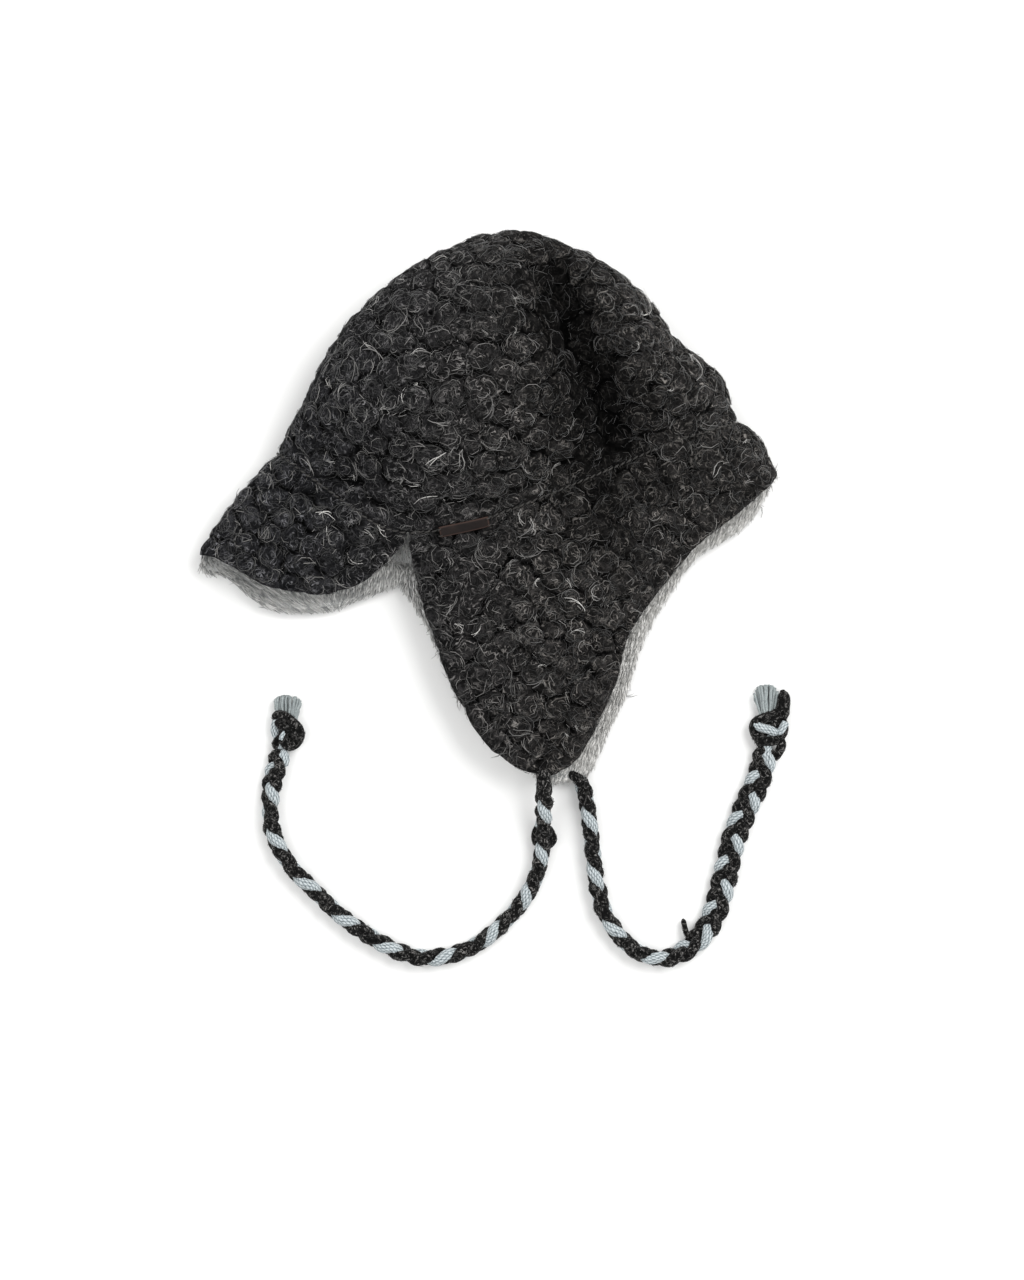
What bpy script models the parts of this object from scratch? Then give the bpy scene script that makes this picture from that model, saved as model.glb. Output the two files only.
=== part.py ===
# A knitted ear-flap hat with a peak and a plush lining, lying on its side.
#
# The hat is folded flat along its own middle line, from the tip of the peak over the crown to
# the nape. The near half faces up, the far half lies on the surface at z = 0, and the far
# half's lining looks out past the near half's edge. +Y points to the top of the crown and -X
# to the peak. Two plaited ties lie loose on the surface.
#
# Every length below is in millimetres. The model is built in metres.

import math
from typing import NamedTuple

import bmesh
import bpy
import numpy as np
from mathutils import Matrix, Vector

MM = 0.001

# Walls
KNIT_THICKNESS = 5.0
LINING_THICKNESS = 6.0
SOLID_GAP = 0.3
SEAM_GAP = 0.8

# Heights of the lying hat, and how far in from the fold its edges are rounded
SKIRT_HEIGHT = 30.0
CROWN_HEIGHT = 72.0
SKIRT_FOLD_HEIGHT = 14.0
CROWN_FOLD_HEIGHT = 26.0
SKIRT_NEAR_ROUNDING = 20.0
CROWN_NEAR_ROUNDING = 72.0
SKIRT_FAR_ROUNDING = 14.0
CROWN_FAR_ROUNDING = 26.0
CROWN_RISE_START = -12.0
CROWN_RISE_LENGTH = 88.0

# Leather label
LABEL_LENGTH = 33.0
LABEL_WIDTH = 7.0
LABEL_THICKNESS = 1.4
LABEL_CENTRE = (-15.5, -10.8)
LABEL_TURN_DEG = 13.0
LABEL_GAP = 1.05

# Plaited ties
TIE_DIAMETER = 11.0
TIE_POINT_SPACING = 24.0
TIE_SIDE_RESOLUTION = 3

# How finely the walls are divided
PEAK_COLUMNS = 8
FLAP_FRONT_COLUMNS = 8
FLAP_BACK_COLUMNS = 13
CROWN_ROWS = 11
PEAK_ROWS = 5
FLAP_ROWS = 7


class Place(NamedTuple):
    """A point of the lying hat seen from above."""

    x: float
    y: float


class Station(NamedTuple):
    """A place on an edge of the hat, on its near half and on its far half."""

    near_x: float
    near_y: float
    far_x: float
    far_y: float


class Hollow(NamedTuple):
    """A soft dent in the near half: its middle, half-lengths, turn and depth."""

    x: float
    y: float
    along: float
    across: float
    turn_deg: float
    depth: float


class Stop(NamedTuple):
    """A point on a tie's route."""

    x: float
    y: float
    z: float


class Bead(NamedTuple):
    """A rounded or tapered solid on a tie: its centre, half-sizes and turn seen from above."""

    x: float
    y: float
    z: float
    half_width: float
    half_length: float
    half_height: float
    turn_deg: float


# The fold, from the top of the crown to the ends of its front and back, and on to the rim
CROWN_TOP = Place(24, 183)
FRONT_FOLD = (CROWN_TOP, Place(-15, 176), Place(-61, 152), Place(-98, 114), Place(-122, 70), Place(-139, 38))
BACK_FOLD = (CROWN_TOP, Place(64, 169), Place(101, 145), Place(128, 112), Place(153, 87), Place(165, 58))
PEAK_FOLD = (Place(-139, 38), Place(-162, 12), Place(-191, -29))
FLAP_FOLD = (Place(165, 58), Place(177, 46), Place(191, 24))

# The seam below the crown, from the front fold to the notch, and from there to the back fold
PEAK_SEAM = (
    Station(-139, 38, -139, 38),
    Station(-106, 14, -104, 6),
    Station(-74, -9, -75, -26),
    Station(-54, -20, -57, -43),
)
FLAP_SEAM = (
    Station(-51, -19, -54, -42),
    Station(-30, -13, -30, -31),
    Station(0, -5, 0, -20),
    Station(65, 21, 65, 6),
    Station(117, 43, 117, 35),
    Station(165, 58, 165, 58),
)

# The rim of the peak from its tip to the notch, and of the ear flap from the notch, down to
# the tie and up to the back corner
PEAK_RIM = (
    Station(-191, -29, -191, -29),
    Station(-168, -42, -171, -46),
    Station(-139, -54, -143, -64),
    Station(-105, -57, -118, -68),
    Station(-84, -51, -84, -62),
    Station(-68, -39, -68, -54),
    Station(-56, -24, -59, -48),
)
FLAP_RIM = (
    Station(-50, -25, -55, -47),
    Station(-43, -54, -43, -70),
    Station(-33, -86, -33, -93),
    Station(-22, -116, -24, -118),
    Station(-3, -149, -5, -148),
    Station(16, -166, 17, -169),
    Station(37, -175, 42, -182),
    Station(57, -164, 66, -173),
    Station(70, -141, 79, -146),
    Station(83, -111, 91, -118),
    Station(92, -80, 101, -89),
    Station(111, -52, 122, -56),
    Station(136, -23, 147, -27),
    Station(168, 3, 173, -8),
    Station(191, 24, 191, 24),
)

# How far from the notch to the back fold the tip of the ear flap comes, as a share of its rim
FLAP_TIP_SHARE = 0.41

# A swelling is a hollow with a negative depth
HOLLOWS = (
    Hollow(x=62, y=100, along=62, across=20, turn_deg=-62, depth=25),
    Hollow(x=52, y=142, along=26, across=14, turn_deg=-80, depth=9),
    Hollow(x=100, y=20, along=55, across=16, turn_deg=-50, depth=4),
    Hollow(x=-88, y=28, along=40, across=15, turn_deg=35, depth=5),
    Hollow(x=26, y=-66, along=62, across=36, turn_deg=-75, depth=-5),
    Hollow(x=40, y=-178, along=34, across=34, turn_deg=0, depth=3),
    Hollow(x=-126, y=-16, along=34, across=26, turn_deg=-40, depth=-4),
)

LEFT_TIE = (
    Stop(36.6, -175.8, 21.6),
    Stop(37.0, -186.0, 20.4),
    Stop(37.0, -196.0, 16.8),
    Stop(36.6, -207.0, 11.6),
    Stop(36.2, -218.0, 7.2),
    Stop(35.4, -228.0, 5.9),
    Stop(33.2, -238.5, 5.8),
    Stop(28.4, -249.5, 5.8),
    Stop(19.8, -263.0, 5.8),
    Stop(5.6, -277.6, 5.8),
    Stop(-10.6, -289.2, 5.8),
    Stop(-30.4, -295.6, 5.8),
    Stop(-52.8, -294.6, 5.8),
    Stop(-74.0, -284.6, 5.8),
    Stop(-95.0, -270.4, 5.8),
    Stop(-111.6, -255.4, 5.8),
    Stop(-128.0, -236.0, 5.8),
    Stop(-138.0, -218.0, 5.8),
    Stop(-141.2, -200.0, 5.8),
    Stop(-140.6, -182.0, 5.8),
    Stop(-137.6, -168.0, 5.9),
    Stop(-133.6, -158.2, 6.2),
)
RIGHT_TIE = (
    Stop(61.2, -175.4, 6.0),
    Stop(64.8, -185.0, 5.8),
    Stop(67.0, -194.0, 5.8),
    Stop(69.0, -206.0, 5.8),
    Stop(70.2, -219.0, 5.8),
    Stop(70.8, -234.0, 5.8),
    Stop(72.8, -250.0, 5.8),
    Stop(77.6, -266.6, 5.8),
    Stop(88.4, -283.4, 5.8),
    Stop(102.6, -294.0, 5.8),
    Stop(118.0, -296.6, 5.8),
    Stop(131.6, -290.6, 5.8),
    Stop(142.0, -281.0, 5.8),
    Stop(149.0, -269.0, 5.8),
    Stop(153.8, -255.4, 5.8),
    Stop(157.4, -240.6, 5.8),
    Stop(160.8, -225.6, 5.8),
    Stop(165.0, -211.6, 5.8),
    Stop(170.8, -197.6, 5.8),
    Stop(176.8, -184.0, 5.8),
    Stop(181.8, -169.6, 5.8),
    Stop(184.9, -155.1, 6.0),
)
LEFT_KNOT = Bead(x=-130.2, y=-147.2, z=7.8, half_width=9.4, half_length=12.2, half_height=7.4, turn_deg=24)
LEFT_TASSEL = Bead(x=-131.0, y=-126.6, z=5.4, half_width=8.8, half_length=8.4, half_height=5.0, turn_deg=-4)
RIGHT_KNOT = Bead(x=186.6, y=-143.4, z=7.8, half_width=9.2, half_length=11.4, half_height=7.4, turn_deg=-10)
RIGHT_TASSEL = Bead(x=183.8, y=-122.6, z=5.4, half_width=9.2, half_length=9.0, half_height=5.0, turn_deg=6)
TASSEL_NECK = 0.62


# Curves

def smooth_path(points, steps=8):
    """A curve through the points, as an array with a row for each place on it."""
    points = np.array(points, float)
    first = 2 * points[0] - points[1]
    last = 2 * points[-1] - points[-2]
    stops = np.vstack([first, points, last])
    share = np.linspace(0, 1, steps, endpoint=False)[:, None]
    spans = []
    for before, start, end, after in zip(stops, stops[1:], stops[2:], stops[3:]):
        slope = end - before
        bend = 2 * before - 5 * start + 4 * end - after
        twist = 3 * (start - end) + after - before
        spans.append(start + (slope * share + bend * share**2 + twist * share**3) / 2)
    return np.vstack([*spans, points[-1:]])


def run_lengths(path):
    """How far along the path each of its points lies."""
    steps = np.linalg.norm(np.diff(path, axis=0), axis=1)
    return np.concatenate([[0], np.cumsum(steps)])


def along(path, fractions):
    """The path's places at fractions of its length."""
    runs = run_lengths(path)
    return np.column_stack([np.interp(fractions * runs[-1], runs, column) for column in path.T])


def patch(top, bottom, left, right, across, down):
    """Places on a sheet stretched between four edges (a Coons patch), a row for each 'down'."""
    s = across[None, :, None]
    t = down[:, None, None]
    between_rows = (1 - t) * along(top, across)[None] + t * along(bottom, across)[None]
    between_sides = (1 - s) * along(left, down)[:, None] + s * along(right, down)[:, None]
    corners = (1 - t) * ((1 - s) * top[0] + s * top[-1]) + t * ((1 - s) * bottom[0] + s * bottom[-1])
    return between_rows + between_sides - corners


def near_side(stations):
    return smooth_path([(station.near_x, station.near_y) for station in stations])


def far_side(stations):
    return smooth_path([(station.far_x, station.far_y) for station in stations])


FOLD_LINE = np.vstack([
    smooth_path(PEAK_FOLD)[::-1],
    smooth_path(FRONT_FOLD)[::-1],
    smooth_path(BACK_FOLD),
    smooth_path(FLAP_FOLD),
])
SEAM_LINE = np.vstack([near_side(PEAK_SEAM), near_side(FLAP_SEAM)])


# Heights over the surface that the hat lies on

def distance_to_path(places, path):
    """Shortest distance from each place to the path."""
    starts = path[:-1]
    spans = np.diff(path, axis=0)
    lengths = np.maximum((spans**2).sum(1), 1e-9)
    nearest = np.full(len(places), np.inf)
    for start, span, length in zip(starts, spans, lengths):
        share = np.clip((places - start) @ span / length, 0, 1)
        gap = np.linalg.norm(places - start - share[:, None] * span, axis=1)
        nearest = np.minimum(nearest, gap)
    return nearest


def ease(share):
    """A smooth step from 0 to 1."""
    share = np.clip(share, 0, 1)
    return share * share * (3 - 2 * share)


def round_over(distance, radius):
    """0 at an edge and 1 past its rounding, as a quarter circle."""
    left = 1 - np.minimum(distance / radius, 1)
    return np.sqrt(1 - left**2)


def crown_share(places):
    """0 on the peak and the ear flaps, and 1 well inside the crown."""
    seam_y = np.interp(places[:, 0], SEAM_LINE[:, 0], SEAM_LINE[:, 1])
    side = np.where(places[:, 1] > seam_y, 1, -1)
    inside = side * distance_to_path(places, SEAM_LINE)
    return ease((inside - CROWN_RISE_START) / CROWN_RISE_LENGTH)


def hollow_depth(places):
    """How far the dents lower the near half."""
    depth = np.zeros(len(places))
    for hollow in HOLLOWS:
        turn = math.radians(hollow.turn_deg)
        away = places - (hollow.x, hollow.y)
        lengthwise = away @ (math.cos(turn), math.sin(turn)) / hollow.along
        crosswise = away @ (-math.sin(turn), math.cos(turn)) / hollow.across
        depth += hollow.depth * np.exp(-lengthwise**2 - crosswise**2)
    return depth


def lay_out(places, near):
    """Lift places seen from above onto the knit's outer surface, as rows x, y, z."""
    share = crown_share(places)
    fold_distance = distance_to_path(places, FOLD_LINE)
    fold_height = SKIRT_FOLD_HEIGHT + share * (CROWN_FOLD_HEIGHT - SKIRT_FOLD_HEIGHT)
    if near:
        rounding = SKIRT_NEAR_ROUNDING + share * (CROWN_NEAR_ROUNDING - SKIRT_NEAR_ROUNDING)
        full = SKIRT_HEIGHT + share * (CROWN_HEIGHT - SKIRT_HEIGHT) - hollow_depth(places)
        height = fold_height + (full - fold_height) * round_over(fold_distance, rounding)
    else:
        rounding = SKIRT_FAR_ROUNDING + share * (CROWN_FAR_ROUNDING - SKIRT_FAR_ROUNDING)
        height = fold_height * (1 - round_over(fold_distance, rounding))
    return np.column_stack([places, height])


def lift(grid, near):
    """lay_out for a whole grid of places."""
    rows, columns, _ = grid.shape
    return lay_out(grid.reshape(-1, 2), near).reshape(rows, columns, 3)


# The three knitted pieces as grids of points, from the seam outwards

def fold_to_notch(columns):
    """Shares of the way from a fold to the notch, closer together at the fold."""
    return 1 - np.cos(np.linspace(0, math.pi / 2, columns + 1))


def notch_to_fold(front_columns, back_columns):
    """Shares of the way from the notch, past the flap's tip, to the fold, closer together there."""
    front = np.linspace(0, FLAP_TIP_SHARE, front_columns + 1)
    back = np.sin(np.linspace(0, math.pi / 2, back_columns + 1)[1:])
    return np.concatenate([front, FLAP_TIP_SHARE + (1 - FLAP_TIP_SHARE) * back])


def flap_columns():
    return notch_to_fold(FLAP_FRONT_COLUMNS, FLAP_BACK_COLUMNS)


def join_halves(near_grid, far_grid):
    """One strip round the fold: the far half from the notch to the fold, then the near half."""
    return np.concatenate([far_grid[:, ::-1], near_grid[:, 1:]], axis=1)


def peak_half(near):
    side = near_side if near else far_side
    seam = side(PEAK_SEAM)
    rim = side(PEAK_RIM)
    notch = np.array([seam[-1], rim[-1]])
    down = np.linspace(0, 1, PEAK_ROWS + 1)
    return lift(patch(seam, rim, smooth_path(PEAK_FOLD), notch, fold_to_notch(PEAK_COLUMNS), down), near)


def flap_half(near):
    side = near_side if near else far_side
    seam = side(FLAP_SEAM)
    rim = side(FLAP_RIM)
    notch = np.array([seam[0], rim[0]])
    down = np.linspace(0, 1, FLAP_ROWS + 1)
    return lift(patch(seam, rim, notch, smooth_path(FLAP_FOLD), flap_columns(), down), near)


def crown_half(near):
    side = near_side if near else far_side
    front = side(PEAK_SEAM)
    back = side(FLAP_SEAM)
    front_length = run_lengths(front)[-1]
    back_length = run_lengths(back)[-1]
    notch_share = front_length / (front_length + back_length)
    columns = np.concatenate([
        notch_share * fold_to_notch(PEAK_COLUMNS)[:-1],
        notch_share + (1 - notch_share) * flap_columns(),
    ])
    top = np.array([CROWN_TOP, CROWN_TOP], float)
    seam_end = 1 - SEAM_GAP / (CROWN_TOP.y - front[-1][1])
    down = seam_end * np.linspace(0, 1, CROWN_ROWS + 1)[1:] ** 1.2
    sides = smooth_path(FRONT_FOLD), smooth_path(BACK_FOLD)
    return lift(patch(top, np.vstack([front, back]), *sides, columns, down), near)


def peak_grid():
    return join_halves(peak_half(near=True), peak_half(near=False))


def flap_grid():
    near_half = flap_half(near=True)[:, ::-1]
    far_half = flap_half(near=False)[:, ::-1]
    return join_halves(near_half, far_half)[:, ::-1]


def crown_grid():
    """Closed rings, each along the near half to the back fold and home along the far half."""
    near_half = crown_half(near=True)
    far_half = crown_half(near=False)[:, ::-1]
    return np.concatenate([near_half, far_half[:, 1:-1]], axis=1)


# Blender objects

def clear_scene():
    for thing in list(bpy.data.objects):
        bpy.data.objects.remove(thing, do_unlink=True)


def material(name, colour, roughness):
    """A plain finish with the part's colour, which is given as linear red, green and blue."""
    finish = bpy.data.materials.new(name)
    finish.use_nodes = True
    shader = finish.node_tree.nodes["Principled BSDF"]
    shader.inputs["Base Color"].default_value = (*colour, 1)
    shader.inputs["Roughness"].default_value = roughness
    shader.inputs["Metallic"].default_value = 0
    return finish


def add_object(name, data, finish, hat):
    data.materials.append(finish)
    piece = bpy.data.objects.new(name, data)
    hat.objects.link(piece)
    return piece


def add_mesh(name, mesh, finish, hat):
    data = bpy.data.meshes.new(name)
    mesh.to_mesh(data)
    mesh.free()
    return add_object(name, data, finish, hat)


def open_surface(grid, closed, top=None):
    """Faces between the rows of a grid, and from its first row to a point at the top."""
    mesh = bmesh.new()
    rows = [[mesh.verts.new(Vector(point) * MM) for point in row] for row in grid]
    for upper, lower in zip(rows, rows[1:]):
        for place in range(len(upper) - (0 if closed else 1)):
            following = (place + 1) % len(upper)
            mesh.faces.new((upper[place], lower[place], lower[following], upper[following]))
    if top is not None:
        peak = mesh.verts.new(Vector(top) * MM)
        for place, vertex in enumerate(rows[0]):
            mesh.faces.new((peak, vertex, rows[0][(place + 1) % len(rows[0])]))
    mesh.normal_update()
    return mesh


def add_wall(name, mesh, depth, thickness, finish, hat):
    """A wall that starts at a depth under the surface and is thickened inwards."""
    for vertex in mesh.verts:
        vertex.co -= vertex.normal * depth * MM
    piece = add_mesh(name, mesh, finish, hat)
    solidify = piece.modifiers.new("Thickness", "SOLIDIFY")
    solidify.thickness = thickness * MM
    solidify.offset = -1
    return piece


def add_knit_and_lining(name, grid, closed, top, finishes, hat):
    """A knitted piece and the plush piece behind it."""
    knit = open_surface(grid, closed, top)
    add_wall(name + "_knit", knit, 0, KNIT_THICKNESS, finishes["wool knit"], hat)
    plush = open_surface(grid, closed, top)
    depth = KNIT_THICKNESS + SOLID_GAP
    add_wall(name + "_lining", plush, depth, LINING_THICKNESS, finishes["plush"], hat)


def add_label(finishes, hat):
    """A leather strip, square to the knit below it and just clear of its highest place."""
    turn = math.radians(LABEL_TURN_DEG)
    lengthwise = LABEL_LENGTH / 2 * np.array([math.cos(turn), math.sin(turn)])
    crosswise = LABEL_WIDTH / 2 * np.array([-math.sin(turn), math.cos(turn)])
    steps = np.linspace(-1, 1, 7)
    under = np.array([LABEL_CENTRE + a * lengthwise + b * crosswise for a in steps for b in steps])
    knit = lay_out(under, near=True)
    middle = knit.mean(axis=0)
    slope = np.linalg.lstsq(np.column_stack([under, np.ones(len(under))]), knit[:, 2], rcond=None)[0]
    normal = Vector((-slope[0], -slope[1], 1)).normalized()
    highest = ((knit - middle) @ np.array(normal)).max()
    place = Vector(middle) + normal * (highest + LABEL_GAP + LABEL_THICKNESS / 2)
    lean = Vector((0, 0, 1)).rotation_difference(normal).to_matrix().to_4x4()
    mesh = bmesh.new()
    size = Matrix.Diagonal((LABEL_LENGTH * MM, LABEL_WIDTH * MM, LABEL_THICKNESS * MM, 1))
    bmesh.ops.create_cube(mesh, size=1, matrix=size)
    label = add_mesh("label", mesh, finishes["leather"], hat)
    label.matrix_world = Matrix.Translation(place * MM) @ lean @ Matrix.Rotation(turn, 4, "Z")
    bevel = label.modifiers.new("Soft edges", "BEVEL")
    bevel.width = 0.3 * MM
    bevel.segments = 2


def add_tie(name, route, finishes, hat):
    """A tube of the plait's outer size, along a smooth curve through the route."""
    path = smooth_path(route)
    spans = round(run_lengths(path)[-1] / TIE_POINT_SPACING)
    points = along(path, np.linspace(0, 1, spans + 1))
    curve = bpy.data.curves.new(name, "CURVE")
    curve.dimensions = "3D"
    curve.bevel_depth = TIE_DIAMETER / 2 * MM
    curve.bevel_resolution = TIE_SIDE_RESOLUTION
    curve.use_fill_caps = True
    spline = curve.splines.new("POLY")
    spline.points.add(len(points) - 1)
    for stop, point in zip(spline.points, points):
        stop.co = (*(point * MM), 1)
    return add_object(name, curve, finishes["plaited wool"], hat)


def bead_matrix(bead):
    place = Matrix.Translation(Vector((bead.x, bead.y, bead.z)) * MM)
    return place @ Matrix.Rotation(math.radians(bead.turn_deg), 4, "Z")


def add_knot(name, bead, finishes, hat):
    mesh = bmesh.new()
    size = Matrix.Diagonal((bead.half_width * MM, bead.half_length * MM, bead.half_height * MM, 1))
    bmesh.ops.create_uvsphere(mesh, u_segments=20, v_segments=12, radius=1, matrix=size)
    knot = add_mesh(name, mesh, finishes["plaited wool"], hat)
    knot.matrix_world = bead_matrix(bead)


def add_tassel(name, bead, finishes, hat):
    """A flattened brush, narrow where it leaves the knot."""
    mesh = bmesh.new()
    size = Matrix.Diagonal((bead.half_width * MM, bead.half_height * MM, bead.half_length * MM, 1))
    lengthwise = Matrix.Rotation(math.radians(-90), 4, "X")
    bmesh.ops.create_cone(
        mesh, cap_ends=True, segments=20, radius1=TASSEL_NECK, radius2=1, depth=2, matrix=lengthwise @ size
    )
    tassel = add_mesh(name, mesh, finishes["grey cotton"], hat)
    tassel.matrix_world = bead_matrix(bead)


def build_hat():
    clear_scene()
    hat = bpy.data.collections.new("ear_flap_hat")
    bpy.context.scene.collection.children.link(hat)
    finishes = {
        "wool knit": material("charcoal wool knit", (0.030, 0.029, 0.030), 0.95),
        "plush": material("grey plush", (0.40, 0.39, 0.36), 0.90),
        "leather": material("brown leather", (0.030, 0.018, 0.015), 0.60),
        "plaited wool": material("plaited wool", (0.030, 0.028, 0.028), 0.95),
        "grey cotton": material("grey cotton threads", (0.45, 0.48, 0.48), 0.85),
    }
    top = lay_out(np.array([CROWN_TOP], float), near=True)[0]
    add_knit_and_lining("crown", crown_grid(), True, top, finishes, hat)
    add_knit_and_lining("peak", peak_grid(), False, None, finishes, hat)
    add_knit_and_lining("ear_flaps", flap_grid(), False, None, finishes, hat)
    add_label(finishes, hat)
    add_tie("left_tie", LEFT_TIE, finishes, hat)
    add_knot("left_tie_knot", LEFT_KNOT, finishes, hat)
    add_tassel("left_tie_tassel", LEFT_TASSEL, finishes, hat)
    add_tie("right_tie", RIGHT_TIE, finishes, hat)
    add_knot("right_tie_knot", RIGHT_KNOT, finishes, hat)
    add_tassel("right_tie_tassel", RIGHT_TASSEL, finishes, hat)


build_hat()
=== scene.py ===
import math
from typing import NamedTuple

import bpy
import numpy as np
from mathutils import Matrix, Vector


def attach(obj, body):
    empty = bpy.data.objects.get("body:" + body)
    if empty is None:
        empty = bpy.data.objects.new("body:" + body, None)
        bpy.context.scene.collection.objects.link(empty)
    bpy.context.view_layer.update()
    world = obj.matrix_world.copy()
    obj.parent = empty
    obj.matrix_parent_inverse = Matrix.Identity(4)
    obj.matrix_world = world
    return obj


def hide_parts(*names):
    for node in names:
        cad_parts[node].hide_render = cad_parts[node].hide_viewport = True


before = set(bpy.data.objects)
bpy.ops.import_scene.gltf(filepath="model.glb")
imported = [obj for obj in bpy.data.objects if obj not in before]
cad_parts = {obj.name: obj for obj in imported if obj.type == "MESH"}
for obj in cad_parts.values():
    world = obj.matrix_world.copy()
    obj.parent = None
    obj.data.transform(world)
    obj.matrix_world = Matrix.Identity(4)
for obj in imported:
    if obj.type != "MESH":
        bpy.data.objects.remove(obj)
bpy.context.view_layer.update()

# A knitted ear-flap hat with a peak and a plush lining, lying on its side, seen from above.
# Lengths are in millimetres in the tables and functions, and in metres on the objects.

MM = 0.001
SEED = 7

# The hat's own sizes, as its frame is built
KNIT_THICKNESS = 5.0
LINING_THICKNESS = 6.0
SOLID_GAP = 0.3
SEAM_GAP = 0.8
SKIRT_HEIGHT = 30.0
CROWN_HEIGHT = 72.0
SKIRT_FOLD_HEIGHT = 14.0
CROWN_FOLD_HEIGHT = 26.0
SKIRT_NEAR_ROUNDING = 20.0
CROWN_NEAR_ROUNDING = 72.0
SKIRT_FAR_ROUNDING = 14.0
CROWN_FAR_ROUNDING = 26.0
CROWN_RISE_START = -12.0
CROWN_RISE_LENGTH = 88.0
FLAP_TIP_SHARE = 0.41

# How finely a line round the hat is measured, and the least room that a row of knit needs
STRIP_SAMPLES = 220
CURVE_STEPS = 8
RIM_CLEAR = 5.5

# The knit: how far its creases lie under its outer surface, how high its bobbles puff up from
# there, and how finely it is divided
SKIN_DEPTH = 4.3
PUFF = 5.2
KNIT_STEP = 1.3
KNIT_UNDER_STEP = 2.8
CROWN_ROWS = 16
LONGEST_FLAP = 190.0
ROW_SPACING = 13.2
NEAR_RIM_INSET = 4.6
FAR_RIM_INSET = 6.0
BOBBLE_PITCH = 15.8
BOBBLE_SPACE = 12.2
FIBRE_KINDS = 8
LOCK_DENSITY = 6500
FUZZ_DENSITY = 82000
FLOOR_GAP = 0.2
KNIT_UNDER_END = 0.975

# The plush: its backing's depths, how far down the pieces it goes, and its hairs for each square metre
LINING_DEPTHS = (5.2, 8.8)
LINING_END = 0.99
LINING_STEP = 4.0
ROLL_DEPTH = 6.6
ROLL_RADIUS = 2.8
PILE_DENSITY = 900000.0
PILE_REACH = 17.0

# The seam's stitches and the label
SEAM_STITCH = 4.6
SEAM_RISE = -0.7
LABEL_LENGTH = 33.0
LABEL_WIDTH = 7.0
LABEL_THICKNESS = 1.4
LABEL_CENTRE = (-15.5, -10.8)
LABEL_TURN_DEG = 13.0
LABEL_GAP = 1.7

# The plaits: how finely they are divided, a strand's swing up and down, and its radius
PLAIT_STEP = 1.6
PLAIT_RISE = 1.6
STRAND_RADIUS = 4.0
COTTON_RADIUS = 3.6
MOST_SWELL = 0.05

# The photograph's frame: one pixel's real size on the plane at CAMERA_FOCUS, and the frame's middle
PHOTO_WIDTH = 1024
PHOTO_HEIGHT = 1280
PIXEL_SIZE = 0.66
HAT_MIDDLE_PIXEL = (488.0, 510.5)
CAMERA_HEIGHT = 2400.0
CAMERA_FOCUS = 18.0
SENSOR = 36.0


class Place(NamedTuple):
    """A point of the lying hat seen from above."""

    x: float
    y: float


class Station(NamedTuple):
    """A place on an edge of the hat, on its near half and on its far half."""

    near_x: float
    near_y: float
    far_x: float
    far_y: float


class Hollow(NamedTuple):
    """A soft dent in the near half; a swelling has a negative depth."""

    x: float
    y: float
    along: float
    across: float
    turn_deg: float
    depth: float


class Stop(NamedTuple):
    """A point on a tie's route."""

    x: float
    y: float
    z: float


class Roll(NamedTuple):
    """How far a plait has rolled over at a share of its length, and its strands' swing to each side."""

    share: float
    degrees: float
    spread: float


CROWN_TOP = Place(24, 183)
FRONT_FOLD = (CROWN_TOP, Place(-15, 176), Place(-61, 152), Place(-98, 114), Place(-122, 70), Place(-139, 38))
BACK_FOLD = (CROWN_TOP, Place(64, 169), Place(99, 143.5), Place(125.5, 110.5), Place(153, 87), Place(165, 58))
PEAK_FOLD = (Place(-139, 38), Place(-162, 12), Place(-191, -26.5))
FLAP_FOLD = (Place(165, 58), Place(179.5, 47), Place(191, 24))
PEAK_SEAM = (
    Station(-139, 38, -139, 38),
    Station(-106, 14, -104, 6),
    Station(-74, -9, -75, -26),
    Station(-54, -15.5, -57, -41),
)
FLAP_SEAM = (
    Station(-51, -15, -56, -40.5),
    Station(-30, -13, -30, -31),
    Station(0, -5, 0, -20),
    Station(65, 21, 65, 6),
    Station(117, 43, 117, 35),
    Station(165, 58, 165, 58),
)
NOTCH = (-56, -40)
PEAK_RIM = (
    Station(-191, -26.5, -191, -26.5),
    Station(-181, -29, -189.5, -36),
    Station(-166, -36.8, -173, -43.5),
    Station(-139, -50.5, -157, -58),
    Station(-105, -53.4, -138, -66.5),
    Station(-83, -45.5, -105, -63.5),
    Station(-68, -33, -77, -54),
    Station(-56, -19.5, -60, -45.5),
)
FLAP_RIM = (
    Station(-50, -20.5, -57.5, -46),
    Station(-43, -54, -43, -70),
    Station(-33, -86, -33, -93),
    Station(-22, -116, -24, -118),
    Station(-3, -149, -5, -148),
    Station(16, -166, 17, -169),
    Station(37, -175, 42, -180),
    Station(47.5, -171, 54, -175),
    Station(57, -164, 66, -177),
    Station(70, -141, 79.5, -146),
    Station(83, -111, 92.5, -118),
    Station(92, -80, 101, -89),
    Station(111, -52, 119, -56),
    Station(136, -23, 141, -27),
    Station(168, 3, 172, -8),
    Station(191, 24, 191, 24),
)
HOLLOWS = (
    Hollow(x=62, y=100, along=62, across=20, turn_deg=-62, depth=25),
    Hollow(x=52, y=142, along=26, across=14, turn_deg=-80, depth=9),
    Hollow(x=100, y=20, along=55, across=16, turn_deg=-50, depth=4),
    Hollow(x=-88, y=28, along=40, across=15, turn_deg=35, depth=5),
    Hollow(x=26, y=-66, along=62, across=36, turn_deg=-75, depth=-5),
    Hollow(x=40, y=-178, along=34, across=34, turn_deg=0, depth=3),
    Hollow(x=-126, y=-16, along=34, across=26, turn_deg=-40, depth=-4),
)
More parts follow.
